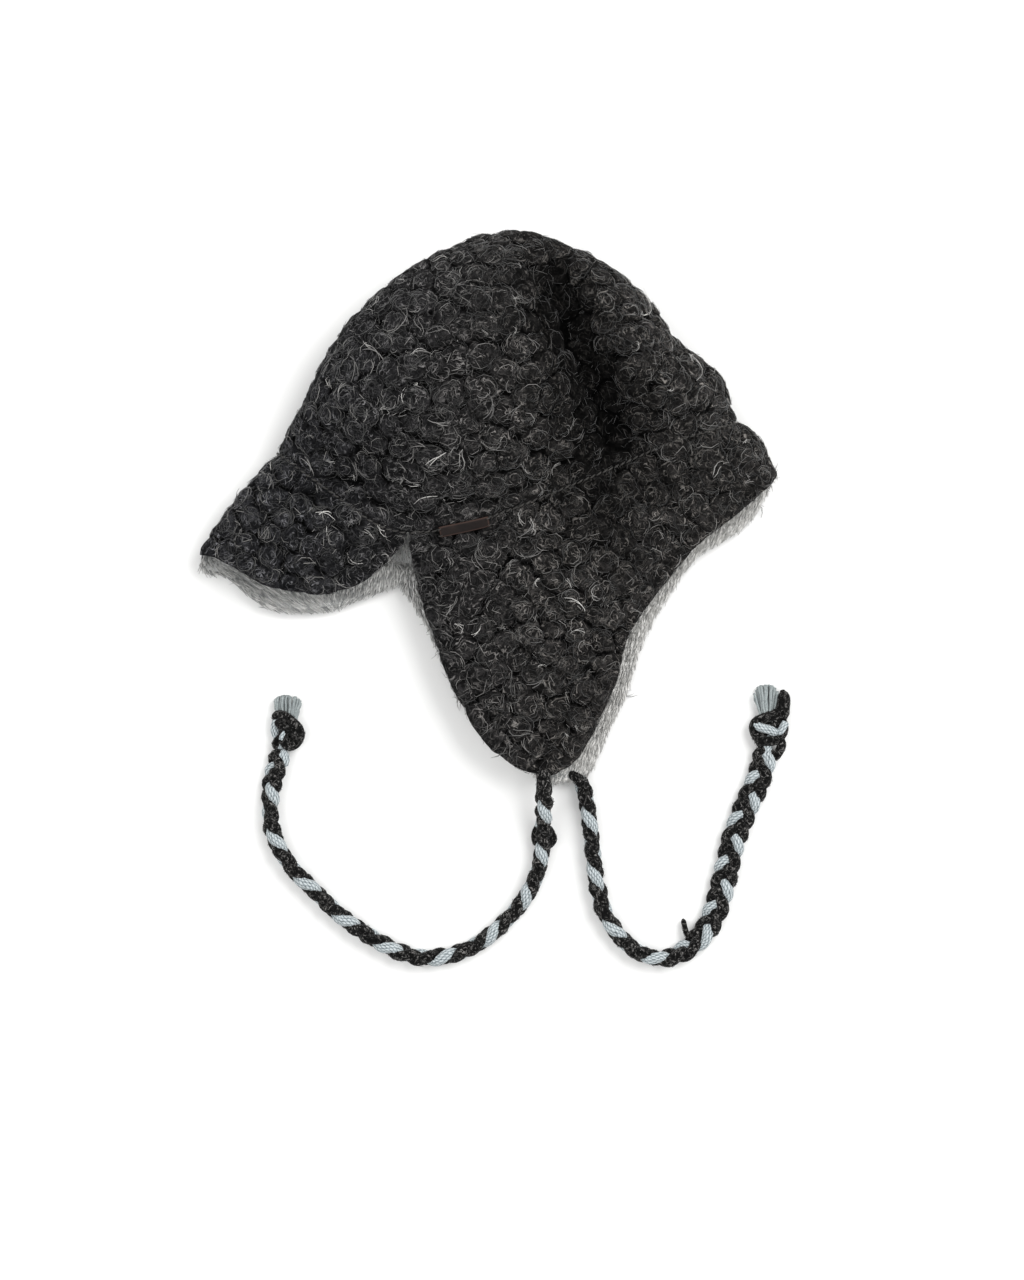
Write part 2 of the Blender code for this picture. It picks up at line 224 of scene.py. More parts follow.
LEFT_TIE = (
    Stop(36.6, -175.8, 21.6),
    Stop(37.0, -186.0, 20.4),
    Stop(37.0, -196.0, 16.8),
    Stop(36.6, -207.0, 11.6),
    Stop(36.2, -218.0, 7.2),
    Stop(35.4, -228.0, 5.9),
    Stop(33.2, -238.5, 5.8),
    Stop(28.4, -249.5, 5.8),
    Stop(19.8, -263.0, 5.8),
    Stop(5.6, -277.6, 5.8),
    Stop(-10.6, -289.2, 5.8),
    Stop(-30.4, -295.6, 5.8),
    Stop(-52.8, -294.6, 5.8),
    Stop(-74.0, -284.6, 5.8),
    Stop(-95.0, -270.4, 5.8),
    Stop(-111.6, -255.4, 5.8),
    Stop(-130.0, -236.5, 5.8),
    Stop(-141.0, -218.0, 5.8),
    Stop(-144.4, -200.0, 5.8),
    Stop(-143.4, -182.0, 5.8),
    Stop(-139.8, -168.0, 5.9),
    Stop(-135.4, -157.6, 6.2),
)
RIGHT_TIE = (
    Stop(59.6, -174.4, 5.8),
    Stop(63.6, -184.6, 5.8),
    Stop(65.6, -194.0, 5.8),
    Stop(67.4, -206.0, 5.8),
    Stop(69.0, -219.0, 5.8),
    Stop(70.2, -234.0, 5.8),
    Stop(72.8, -250.0, 5.8),
    Stop(77.6, -266.6, 5.8),
    Stop(88.4, -283.4, 5.8),
    Stop(102.6, -294.0, 5.8),
    Stop(118.0, -296.6, 5.8),
    Stop(131.6, -290.6, 5.8),
    Stop(142.0, -281.0, 5.8),
    Stop(149.0, -269.0, 5.8),
    Stop(153.8, -255.4, 5.8),
    Stop(157.4, -240.6, 5.8),
    Stop(160.8, -225.6, 5.8),
    Stop(165.0, -211.6, 5.8),
    Stop(170.8, -197.6, 5.8),
    Stop(176.8, -184.0, 5.8),
    Stop(181.8, -169.6, 5.8),
    Stop(184.9, -155.1, 6.0),
)
LEFT_ROLL = (
    Roll(0, -70, 4.2), Roll(0.2, -95, 4.4), Roll(0.5, -80, 4.4), Roll(0.8, -95, 4.6), Roll(0.92, -110, 4.8),
    Roll(1, -150, 4.8),
)
RIGHT_ROLL = (
    Roll(0, -80, 4.2), Roll(0.25, -100, 4.5), Roll(0.45, -85, 4.5), Roll(0.57, -150, 4.9), Roll(0.75, -165, 4.9),
    Roll(1, -165, 4.9),
)

# How far along each tie its light strand lies on top
LEFT_LIGHT = (23.5, 54.3, 83.8, 118.0, 155.0, 193.2, 225.4, 260.8, 296.4, 327.6, 354.5)
RIGHT_LIGHT = (32.0, 68.3, 107.3, 140.7, 175.9, 208.8, 239.3, 270.1, 298.5)


class Combing(NamedTuple):
    """How far the plush's hairs lean sideways, for one step down, where they lie at x."""

    x: float
    sideways: float


PLUSH_COMBING = (
    Combing(-192, -0.6),
    Combing(-182, 1.3),
    Combing(-150, 0.9),
    Combing(-115, 0.5),
    Combing(-85, -0.4),
    Combing(-58, -0.1),
    Combing(-40, 0.35),
    Combing(20, -0.2),
    Combing(60, -0.45),
    Combing(190, -0.6),
)

# Painted shade: where the wool's colour is darkened to stand for the shade in the crown's dent and on other slopes, as
# a share of full darkness in place of a depth
PAINTED_SHADE_SPOTS = (
    Hollow(x=58, y=102, along=64, across=28, turn_deg=-66, depth=1.0),
    Hollow(x=46, y=142, along=32, across=20, turn_deg=-80, depth=0.6),
    Hollow(x=76, y=40, along=52, across=26, turn_deg=-84, depth=0.55),
    Hollow(x=64, y=2, along=44, across=22, turn_deg=-75, depth=0.4),
    Hollow(x=-88, y=28, along=40, across=15, turn_deg=35, depth=0.2),
    Hollow(x=112, y=64, along=40, across=26, turn_deg=40, depth=0.25),
)


# Camera, light and floor

def set_camera():
    """Straight above, so that the photograph's frame falls on the plane at CAMERA_FOCUS."""
    x = (PHOTO_WIDTH / 2 - HAT_MIDDLE_PIXEL[0]) * PIXEL_SIZE
    y = (HAT_MIDDLE_PIXEL[1] - PHOTO_HEIGHT / 2) * PIXEL_SIZE
    data = bpy.data.cameras.new("camera")
    data.sensor_width = SENSOR
    data.lens = SENSOR * (CAMERA_HEIGHT - CAMERA_FOCUS) / (PHOTO_HEIGHT * PIXEL_SIZE)
    camera = bpy.data.objects.new("camera", data)
    camera.location = Vector((x, y, CAMERA_HEIGHT)) * MM
    bpy.context.scene.collection.objects.link(camera)
    bpy.context.scene.camera = camera


def add_area_light(name, place, target, size, power):
    data = bpy.data.lights.new(name, "AREA")
    data.shape = "SQUARE"
    data.size = size
    data.energy = power
    light = bpy.data.objects.new(name, data)
    light.location = place
    light.rotation_euler = (Vector(target) - Vector(place)).to_track_quat("-Z", "Y").to_euler()
    bpy.context.scene.collection.objects.link(light)


def light_studio():
    world = bpy.data.worlds.new("soft white studio")
    world.use_nodes = True
    background = world.node_tree.nodes["Background"]
    background.inputs["Color"].default_value = (1, 1, 1, 1)
    background.inputs["Strength"].default_value = 0.76
    bpy.context.scene.world = world
    bpy.context.scene.view_settings.view_transform = "Standard"
    add_area_light("window", (1.6, 1.1, 2.1), (0, 0, 0), 2.0, 72)
    add_area_light("fill", (-1.6, -0.3, 2.2), (0, -0.1, 0), 2.0, 24)


# Plain helpers

def linear(hex_colour):
    """An sRGB hex colour as linear red, green, blue and alpha."""
    parts = [int(hex_colour[i:i + 2], 16) / 255 for i in (1, 3, 5)]
    return (*(p / 12.92 if p <= 0.04045 else ((p + 0.055) / 1.055) ** 2.4 for p in parts), 1)


def add_node(tree, kind, inputs=None, **settings):
    """Add a node; inputs gives each socket, by name or number, a value or another node's output."""
    node = tree.nodes.new(kind)
    for key, value in settings.items():
        setattr(node, key, value)
    for key, value in (inputs or {}).items():
        socket = node.inputs[key]
        if isinstance(value, bpy.types.NodeSocket):
            tree.links.new(value, socket)
        else:
            socket.default_value = value
    return node


def new_material(name, roughness, sheen=0.0, sheen_tint="#ffffff", specular=0.3):
    """A Principled material and its tree, with the settings that are the same all over it."""
    made = bpy.data.materials.new(name)
    made.use_nodes = True
    shader = made.node_tree.nodes["Principled BSDF"]
    shader.inputs["Roughness"].default_value = roughness
    shader.inputs["Sheen Weight"].default_value = sheen
    shader.inputs["Sheen Roughness"].default_value = 0.45
    shader.inputs["Sheen Tint"].default_value = linear(sheen_tint)
    shader.inputs["Specular IOR Level"].default_value = specular
    return made, made.node_tree, shader


# Curves and sheets, in millimetres

def smooth_path(points, steps=CURVE_STEPS):
    """A curve through the points, as an array with a row for each place on it."""
    points = np.array(points, float)
    first = 2 * points[0] - points[1]
    last = 2 * points[-1] - points[-2]
    stops = np.vstack([first, points, last])
    share = np.linspace(0, 1, steps, endpoint=False)[:, None]
    spans = []
    for before, start, end, after in zip(stops, stops[1:], stops[2:], stops[3:]):
        slope = end - before
        bend = 2 * before - 5 * start + 4 * end - after
        twist = 3 * (start - end) + after - before
        spans.append(start + (slope * share + bend * share**2 + twist * share**3) / 2)
    return np.vstack([*spans, points[-1:]])


def run_lengths(path):
    steps = np.linalg.norm(np.diff(path, axis=0), axis=1)
    return np.concatenate([[0], np.cumsum(steps)])


def along(path, fractions):
    """The path's places at fractions of its length, for fractions in an array of any shape."""
    runs = run_lengths(path)
    return np.stack([np.interp(fractions * runs[-1], runs, column) for column in path.T], axis=-1)


def unit(vectors):
    return vectors / np.maximum(np.linalg.norm(vectors, axis=-1, keepdims=True), 1e-9)


class Sheet(NamedTuple):
    """Half of a knitted piece seen from above, stretched between four edges."""

    top: np.ndarray
    bottom: np.ndarray
    left: np.ndarray
    right: np.ndarray
    near: bool

    def places(self, s, t):
        """Places at shares s across and t down (a Coons patch)."""
        a = s[..., None]
        b = t[..., None]
        rows = (1 - b) * along(self.top, s) + b * along(self.bottom, s)
        sides = (1 - a) * along(self.left, t) + a * along(self.right, t)
        upper = (1 - a) * self.top[0] + a * self.top[-1]
        lower = (1 - a) * self.bottom[0] + a * self.bottom[-1]
        return rows + sides - (1 - b) * upper - b * lower

    def points(self, s, t):
        """Points on the knit's outer surface at shares s across and t down."""
        places = self.places(s, t)
        return lay_out(places.reshape(-1, 2), self.near).reshape(*places.shape[:-1], 3)


def near_side(stations):
    return smooth_path([(station.near_x, station.near_y) for station in stations])


def far_side(stations):
    return smooth_path([(station.far_x, station.far_y) for station in stations])


CROWN_FOLD = smooth_path(FRONT_FOLD[::-1] + BACK_FOLD[1:])
CROWN_FRONT, CROWN_BACK = np.split(CROWN_FOLD, [CURVE_STEPS * (len(FRONT_FOLD) - 1)])
CROWN_FRONT = np.vstack([CROWN_FRONT, CROWN_BACK[:1]])[::-1]
FOLD_LINE = np.vstack([smooth_path(PEAK_FOLD)[::-1], CROWN_FOLD, smooth_path(FLAP_FOLD)])
SEAM_LINE = np.vstack([near_side(PEAK_SEAM), near_side(FLAP_SEAM)])


def distance_to_path(places, path):
    """Shortest distance from each place to the path."""
    nearest = np.full(len(places), np.inf)
    for start, end in zip(path[:-1], path[1:]):
        span = end - start
        share = np.clip((places - start) @ span / max(span @ span, 1e-9), 0, 1)
        nearest = np.minimum(nearest, np.linalg.norm(places - start - share[:, None] * span, axis=1))
    return nearest


def ease(share):
    share = np.clip(share, 0, 1)
    return share * share * (3 - 2 * share)


def round_over(distance, radius):
    """0 at an edge and 1 past its rounding, as a quarter circle."""
    left = 1 - np.minimum(distance / radius, 1)
    return np.sqrt(1 - left**2)


def crown_share(places):
    """0 on the peak and the ear flaps, and 1 well inside the crown."""
    seam_y = np.interp(places[:, 0], SEAM_LINE[:, 0], SEAM_LINE[:, 1])
    side = np.where(places[:, 1] > seam_y, 1, -1)
    inside = side * distance_to_path(places, SEAM_LINE)
    return ease((inside - CROWN_RISE_START) / CROWN_RISE_LENGTH)


def hollow_depth(places, hollows=HOLLOWS):
    depth = np.zeros(len(places))
    for hollow in hollows:
        turn = math.radians(hollow.turn_deg)
        away = places - (hollow.x, hollow.y)
        lengthwise = away @ (math.cos(turn), math.sin(turn)) / hollow.along
        crosswise = away @ (-math.sin(turn), math.cos(turn)) / hollow.across
        depth += hollow.depth * np.exp(-lengthwise**2 - crosswise**2)
    return depth


def lay_out(places, near):
    """Lift places seen from above onto the knit's outer surface."""
    share = crown_share(places)
    fold_distance = distance_to_path(places, FOLD_LINE)
    fold_height = SKIRT_FOLD_HEIGHT + share * (CROWN_FOLD_HEIGHT - SKIRT_FOLD_HEIGHT)
    if near:
        rounding = SKIRT_NEAR_ROUNDING + share * (CROWN_NEAR_ROUNDING - SKIRT_NEAR_ROUNDING)
        full = SKIRT_HEIGHT + share * (CROWN_HEIGHT - SKIRT_HEIGHT) - hollow_depth(places)
        height = fold_height + (full - fold_height) * round_over(fold_distance, rounding)
    else:
        rounding = SKIRT_FAR_ROUNDING + share * (CROWN_FAR_ROUNDING - SKIRT_FAR_ROUNDING)
        height = fold_height * (1 - round_over(fold_distance, rounding))
    return np.column_stack([places, height])


# The hat's pieces, each as a near half and a far half that meet at the fold

def peak_sheet(near):
    side = near_side if near else far_side
    seam = side(PEAK_SEAM)
    rim = side(PEAK_RIM)
    notch = np.array([seam[-1], rim[-1]])
    return Sheet(seam[::-1], rim[::-1], notch, smooth_path(PEAK_FOLD), near)


def flap_sheet(near):
    side = near_side if near else far_side
    seam = side(FLAP_SEAM)
    rim = side(FLAP_RIM)
    notch = np.array([seam[0], rim[0]])
    return Sheet(seam, rim, notch, smooth_path(FLAP_FOLD), near)


def crown_sheet(near):
    side = near_side if near else far_side
    top = np.array([CROWN_TOP, CROWN_TOP], float)
    seam = np.vstack([side(PEAK_SEAM), side(FLAP_SEAM)])
    return Sheet(top, seam, CROWN_FRONT, CROWN_BACK, near)


class Strip(NamedTuple):
    """Places in a line round a piece of the hat, from notch to notch or all the way round."""

    points: np.ndarray
    normals: np.ndarray
    directions: np.ndarray
    on_piece: np.ndarray

    def at(self, runs):
        """The strip at distances along it."""
        own_runs = run_lengths(self.points)
        parts = []
        for part in self:
            columns = part.reshape(len(own_runs), -1).T
            parts.append(np.column_stack([np.interp(runs, own_runs, column) for column in columns]))
        points, normals, directions, on_piece = parts
        return Strip(points, unit(normals), unit(directions), on_piece[:, 0])

    def keep(self, chosen):
        return Strip(*(part[chosen] for part in self))


class Line(NamedTuple):
    """Where a strip runs: a share of the way down, or a distance from the seam or the rim."""

    measure: str
    value: float = 0.0
    far_scale: float = 1.0

    def depths(self, sheet, shares):
        """Shares of the way down the sheet, and 1 where the line is on it."""
        if self.measure == "share":
            from_fold = ease(np.minimum(shares, 1 - shares) / 0.12)
            scale = 1.0 if sheet.near else 1 + (self.far_scale - 1) * from_fold
            return self.value * scale * np.ones(len(shares)), np.ones(len(shares))
        spans = np.linalg.norm(along(sheet.bottom, shares) - along(sheet.top, shares), axis=1)
        inset = NEAR_RIM_INSET if sheet.near else FAR_RIM_INSET
        if self.measure == "rim":
            return np.clip(1 - inset / spans, 0, 1), np.where(spans > 1.5 * inset, 1.0, 0.0)
        return np.clip(self.value / spans, 0, 1), np.where(spans > self.value + inset + RIM_CLEAR, 1.0, 0.0)


class Piece(NamedTuple):
    """One sewn piece of the hat: its near and far halves, and whether it goes all the way round."""

    name: str
    near: Sheet
    far: Sheet
    ring: bool

    def strip(self, line, samples=STRIP_SAMPLES):
        """A strip along the near half and home along the far half."""
        shares = (1 - np.cos(np.linspace(0, math.pi, samples))) / 2
        halves = []
        for sheet, across in ((self.near, shares), (self.far, shares[::-1][1:])):
            depths, on_piece = line.depths(sheet, across)
            points = sheet.points(across, depths)
            step = np.where(depths < 0.97, 0.01, -0.01)
            down = (sheet.points(across, depths + step) - points) / step[:, None]
            halves.append((points, down, on_piece))
        points, down, on_piece = (np.concatenate(pair) for pair in zip(*halves))
        if self.ring:
            wrapped = np.vstack([points[-2], points, points[1]])
            directions = unit(wrapped[2:] - wrapped[:-2])
        else:
            directions = unit(np.gradient(points, axis=0))
        normals = unit(np.cross(down, directions))
        if normals[samples // 2, 2] < 0:
            normals = -normals
        return Strip(points, normals, directions, on_piece)


CROWN = Piece("crown", crown_sheet(True), crown_sheet(False), True)
PEAK = Piece("peak", peak_sheet(True), peak_sheet(False), False)
EAR_FLAPS = Piece("ear_flaps", flap_sheet(True), flap_sheet(False), False)
PIECES = (CROWN, PEAK, EAR_FLAPS)


TRIAL_LINES = [Line("share", share) for share in np.linspace(0.05, 0.97, 9)]


# Meshes

class Shape(NamedTuple):
    """Vertices, faces and, for each face's corners, UV places, all in millimetres."""

    points: np.ndarray
    faces: list
    uvs: np.ndarray


def join_shapes(shapes):
    first = np.concatenate([[0], np.cumsum([len(shape.points) for shape in shapes])])
    faces = [[corner + start for corner in face] for shape, start in zip(shapes, first) for face in shape.faces]
    return Shape(np.vstack([shape.points for shape in shapes]), faces, np.vstack([shape.uvs for shape in shapes]))


def square_frame(path):
    """For each place on a path its direction, and two directions square to it, level and upright."""
    forward = unit(np.gradient(path, axis=0))
    flat = np.cross(forward, (0, 0, 1))
    weak = np.linalg.norm(flat, axis=1) < 0.05
    flat[weak] = (1, 0, 0)
    side = unit(flat)
    return forward, side, np.cross(side, forward)


def carried_frame(path):
    """Two directions square to the path that turn with it as little as they can."""
    forward = unit(np.gradient(path, axis=0))
    side = unit(np.cross(forward[0], (0.3, 0.2, 1.0)))
    sides = []
    for direction in forward:
        side = unit(side - direction * (side @ direction))
        sides.append(side)
    sides = np.array(sides)
    return sides, np.cross(forward, sides)


def tube(path, radii, sides, lobes=0, lobe_depth=0.0, twist=0.0):
    """A closed tube, whose section may have lobes that wind along it by twist turns per millimetre."""
    path = np.asarray(path, float)
    radii = np.broadcast_to(radii, len(path))
    runs = run_lengths(path)
    side, up = carried_frame(path)
    angles = np.linspace(0, 2 * math.pi, sides, endpoint=False)
    turn = angles[None, :] + 2 * math.pi * twist * runs[:, None]
    swell = radii[:, None] * (1 + lobe_depth * np.cos(lobes * angles))[None, :]
    ring = np.cos(turn)[..., None] * side[:, None] + np.sin(turn)[..., None] * up[:, None]
    points = (path[:, None] + swell[..., None] * ring).reshape(-1, 3)
    around = 2 * math.pi * radii.mean() / sides
    faces = []
    uvs = []
    for k in range(len(path) - 1):
        for j in range(sides):
            n = (j + 1) % sides
            faces.append([k * sides + j, k * sides + n, (k + 1) * sides + n, (k + 1) * sides + j])
            uvs += [(j * around, runs[k]), ((j + 1) * around, runs[k])]
            uvs += [((j + 1) * around, runs[k + 1]), (j * around, runs[k + 1])]
    last = (len(path) - 1) * sides
    faces += [list(range(sides))[::-1], list(range(last, last + sides))]
    uvs += [(0, 0)] * sides + [(0, runs[-1])] * sides
    return Shape(points, faces, np.array(uvs))


def rested(shapes):
    """The shapes together, with nothing below the surface that they lie on."""
    joined = join_shapes(shapes)
    joined.points[:, 2] = np.maximum(joined.points[:, 2], FLOOR_GAP)
    return joined


def new_mesh(name, shape, finish, smooth=True):
    mesh = bpy.data.meshes.new(name)
    mesh.from_pydata((shape.points * MM).tolist(), [], shape.faces)
    layer = mesh.uv_layers.new(name="UVMap")
    layer.data.foreach_set("uv", (shape.uvs * MM).astype(np.float32).ravel())
    mesh.polygons.foreach_set("use_smooth", [smooth] * len(mesh.polygons))
    mesh.materials.append(finish)
    return mesh


def new_object(name, mesh):
    made = bpy.data.objects.new(name, mesh)
    bpy.context.scene.collection.objects.link(made)
    return made


def hand_in(piece, slot, *nodes):
    """Fix a finished piece to the hat, in place of its CAD nodes."""
    for own in ("cover", "comb"):
        if own in piece.data.attributes:
            piece.data.attributes.remove(piece.data.attributes[own])
    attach(piece, "root")
    if nodes:
        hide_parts(*nodes)
    return piece


def wall(piece, last_share, far_scale, steps, depths):
    """A closed wall between two depths under a piece's surface, finer on the near half than on the
    far one and coarse inside; gives its shape and, for each point, how freely its outer skin can
    puff up: 1, less at its edges, and 0 inside."""
    first_share = 0.004 if piece.ring else 0.0
    trials = [piece.strip(line) for line in TRIAL_LINES]
    fold = STRIP_SAMPLES - 1
    down = run_lengths(np.array([strip.points[len(strip.points) // 4] for strip in trials]))[-1]
    near_run = max(run_lengths(strip.points)[fold] for strip in trials)
    far_run = max(run_lengths(strip.points[fold:])[-1] for strip in trials)
    row_spans = 4 * round(down / steps[0] / 4)
    near_spans = 4 * round(near_run / steps[0] / 4)
    far_spans = 4 * round(far_run / steps[1] / 4)
    strips = []
    for share in np.linspace(first_share, last_share, row_spans + 1):
        strip = piece.strip(Line("share", share, far_scale))
        runs = run_lengths(strip.points)
        near_half = np.linspace(0, runs[fold], near_spans, endpoint=False)
        strips.append(strip.at(np.concatenate([near_half, np.linspace(runs[fold], runs[-1], far_spans + 1)])))
    points = np.array([strip.points for strip in strips])
    normals = np.array([strip.normals for strip in strips])
    if piece.ring:
        points = points[:, :-1]
        normals = normals[:, :-1]
    rows, columns, _ = points.shape
    spans = near_spans + far_spans
    outer_points = points - normals * depths[0]
    inner_points = (points - normals * depths[1])[::4, ::4]
    inner_columns = inner_points.shape[1]

    def outer(i, j):
        return i * columns + j % columns

    def inner(i, j):
        return rows * columns + i // 4 * inner_columns + j // 4 % inner_columns

    faces = [
        [outer(i, j), outer(i + 1, j), outer(i + 1, j + 1), outer(i, j + 1)]
        for i in range(rows - 1) for j in range(spans)
    ]
    faces += [
        [inner(i, j + 4), inner(i + 4, j + 4), inner(i + 4, j), inner(i, j)]
        for i in range(0, rows - 1, 4) for j in range(0, spans, 4)
    ]
    last = rows - 1
    for j in range(0, spans, 4):
        faces.append([outer(last, j), inner(last, j), inner(last, j + 4)] + [outer(last, j + k) for k in (4, 3, 2, 1)])
        if not piece.ring:
            faces.append([outer(0, j + k) for k in range(5)] + [inner(0, j + 4), inner(0, j)])
    if piece.ring:
        faces.append([outer(0, j) for j in range(spans)])
        faces.append([inner(0, j) for j in range(0, spans, 4)][::-1])
    else:
        for i in range(0, last, 4):
            faces.append([outer(i, 0), inner(i, 0), inner(i + 4, 0)] + [outer(i + k, 0) for k in (4, 3, 2, 1)])
            faces.append([outer(i + k, spans) for k in range(5)] + [inner(i + 4, spans), inner(i, spans)])
    middle = outer_points[rows // 2]
    step_down = outer_points[rows // 2 + 1] - middle
    step_along = np.roll(middle, -1, axis=0) - middle
    outwards = (np.cross(step_down, step_along) * normals[rows // 2]).sum(axis=1)
    if np.median(outwards) < 0:
        faces = [face[::-1] for face in faces]
    openness = np.ones((rows, columns))
    openness[-1] = 0.3
    openness[-1, :near_spans] = 0.8
    if not piece.ring:
        openness[0] = 0.6
        openness[:, [0, -1]] = 0.3
    corners = sum(len(face) for face in faces)
    vertices = np.vstack([outer_points.reshape(-1, 3), inner_points.reshape(-1, 3)])
    openness = np.concatenate([openness.ravel(), np.zeros(len(vertices) - openness.size)])
    return Shape(vertices, faces, np.zeros((corners, 2))), openness


# Geometry Nodes trees

def new_tree(name, inputs):
    """A node group with named inputs; gives the tree, its input node and each input's identifier."""
    tree = bpy.data.node_groups.new(name, "GeometryNodeTree")
    tree.interface.new_socket("Geometry", in_out="INPUT", socket_type="NodeSocketGeometry")
    sockets = {
        title: tree.interface.new_socket(title, in_out="INPUT", socket_type=kind).identifier
        for title, kind in inputs.items()
    }
    tree.interface.new_socket("Geometry", in_out="OUTPUT", socket_type="NodeSocketGeometry")
    return tree, tree.nodes.new("NodeGroupInput").outputs, sockets


def run_tree(source, tree, sockets, values, name):
    """The tree's result on the source object, as a plain mesh object of its own."""
    modifier = source.modifiers.new("tree", "NODES")
    modifier.node_group = tree
    for title, value in values.items():
        modifier[sockets[title]] = value
    bpy.context.view_layer.update()
    evaluated = source.evaluated_get(bpy.context.evaluated_depsgraph_get())
    mesh = bpy.data.meshes.new_from_object(evaluated)
    mesh.name = name
    source.modifiers.clear()
    return new_object(name, mesh)


def attribute(tree, name, data_type):
    return add_node(tree, "GeometryNodeInputNamedAttribute", {"Name": name}, data_type=data_type).outputs[0]


def random_value(tree, seed, low, high):
    node = add_node(tree, "FunctionNodeRandomValue", {"Seed": seed}, data_type="FLOAT")
    node.inputs[2].default_value = low
    node.inputs[3].default_value = high
    return node.outputs[1]


def random_pick(tree, seed, count):
    node = add_node(tree, "FunctionNodeRandomValue", {"Seed": seed}, data_type="INT")
    node.inputs[4].default_value = 0
    node.inputs[5].default_value = count - 1
    return node.outputs[2]


def finish_tree(tree, instances, given, seed):
    """Give each instance its own tone, partly shared with its neighbours; make it real and set its material."""
    noise = add_node(tree, "ShaderNodeTexNoise", {"Scale": 1 / (2.4 * MM), "Detail": 1.0})
    shared = add_node(tree, "ShaderNodeMapRange", {"Value": noise.outputs["Fac"], "From Min": 0.33, "From Max": 0.67})
    tone = add_node(tree, "ShaderNodeMix", {0: given["Tufts"], 2: random_value(tree, seed, 0, 1), 3: shared.outputs[0]})
    toned = add_node(
        tree, "GeometryNodeStoreNamedAttribute", {"Geometry": instances, "Name": "tone", "Value": tone.outputs[0]},
        data_type="FLOAT", domain="INSTANCE",
    )
    real = add_node(tree, "GeometryNodeRealizeInstances", {0: toned.outputs[0]})
    smooth = add_node(tree, "GeometryNodeSetShadeSmooth", {0: real.outputs[0]})
    return add_node(tree, "GeometryNodeSetMaterial", {0: smooth.outputs[0], "Material": given["Material"]}).outputs[0]


def sampled(tree, source, index, name, data_type="FLOAT_VECTOR"):
    """An attribute of the stitch with that number."""
    value = attribute(tree, name, data_type)
    return add_node(tree, "GeometryNodeSampleIndex", {0: source, 1: value, "Index": index}, data_type=data_type).outputs[0]


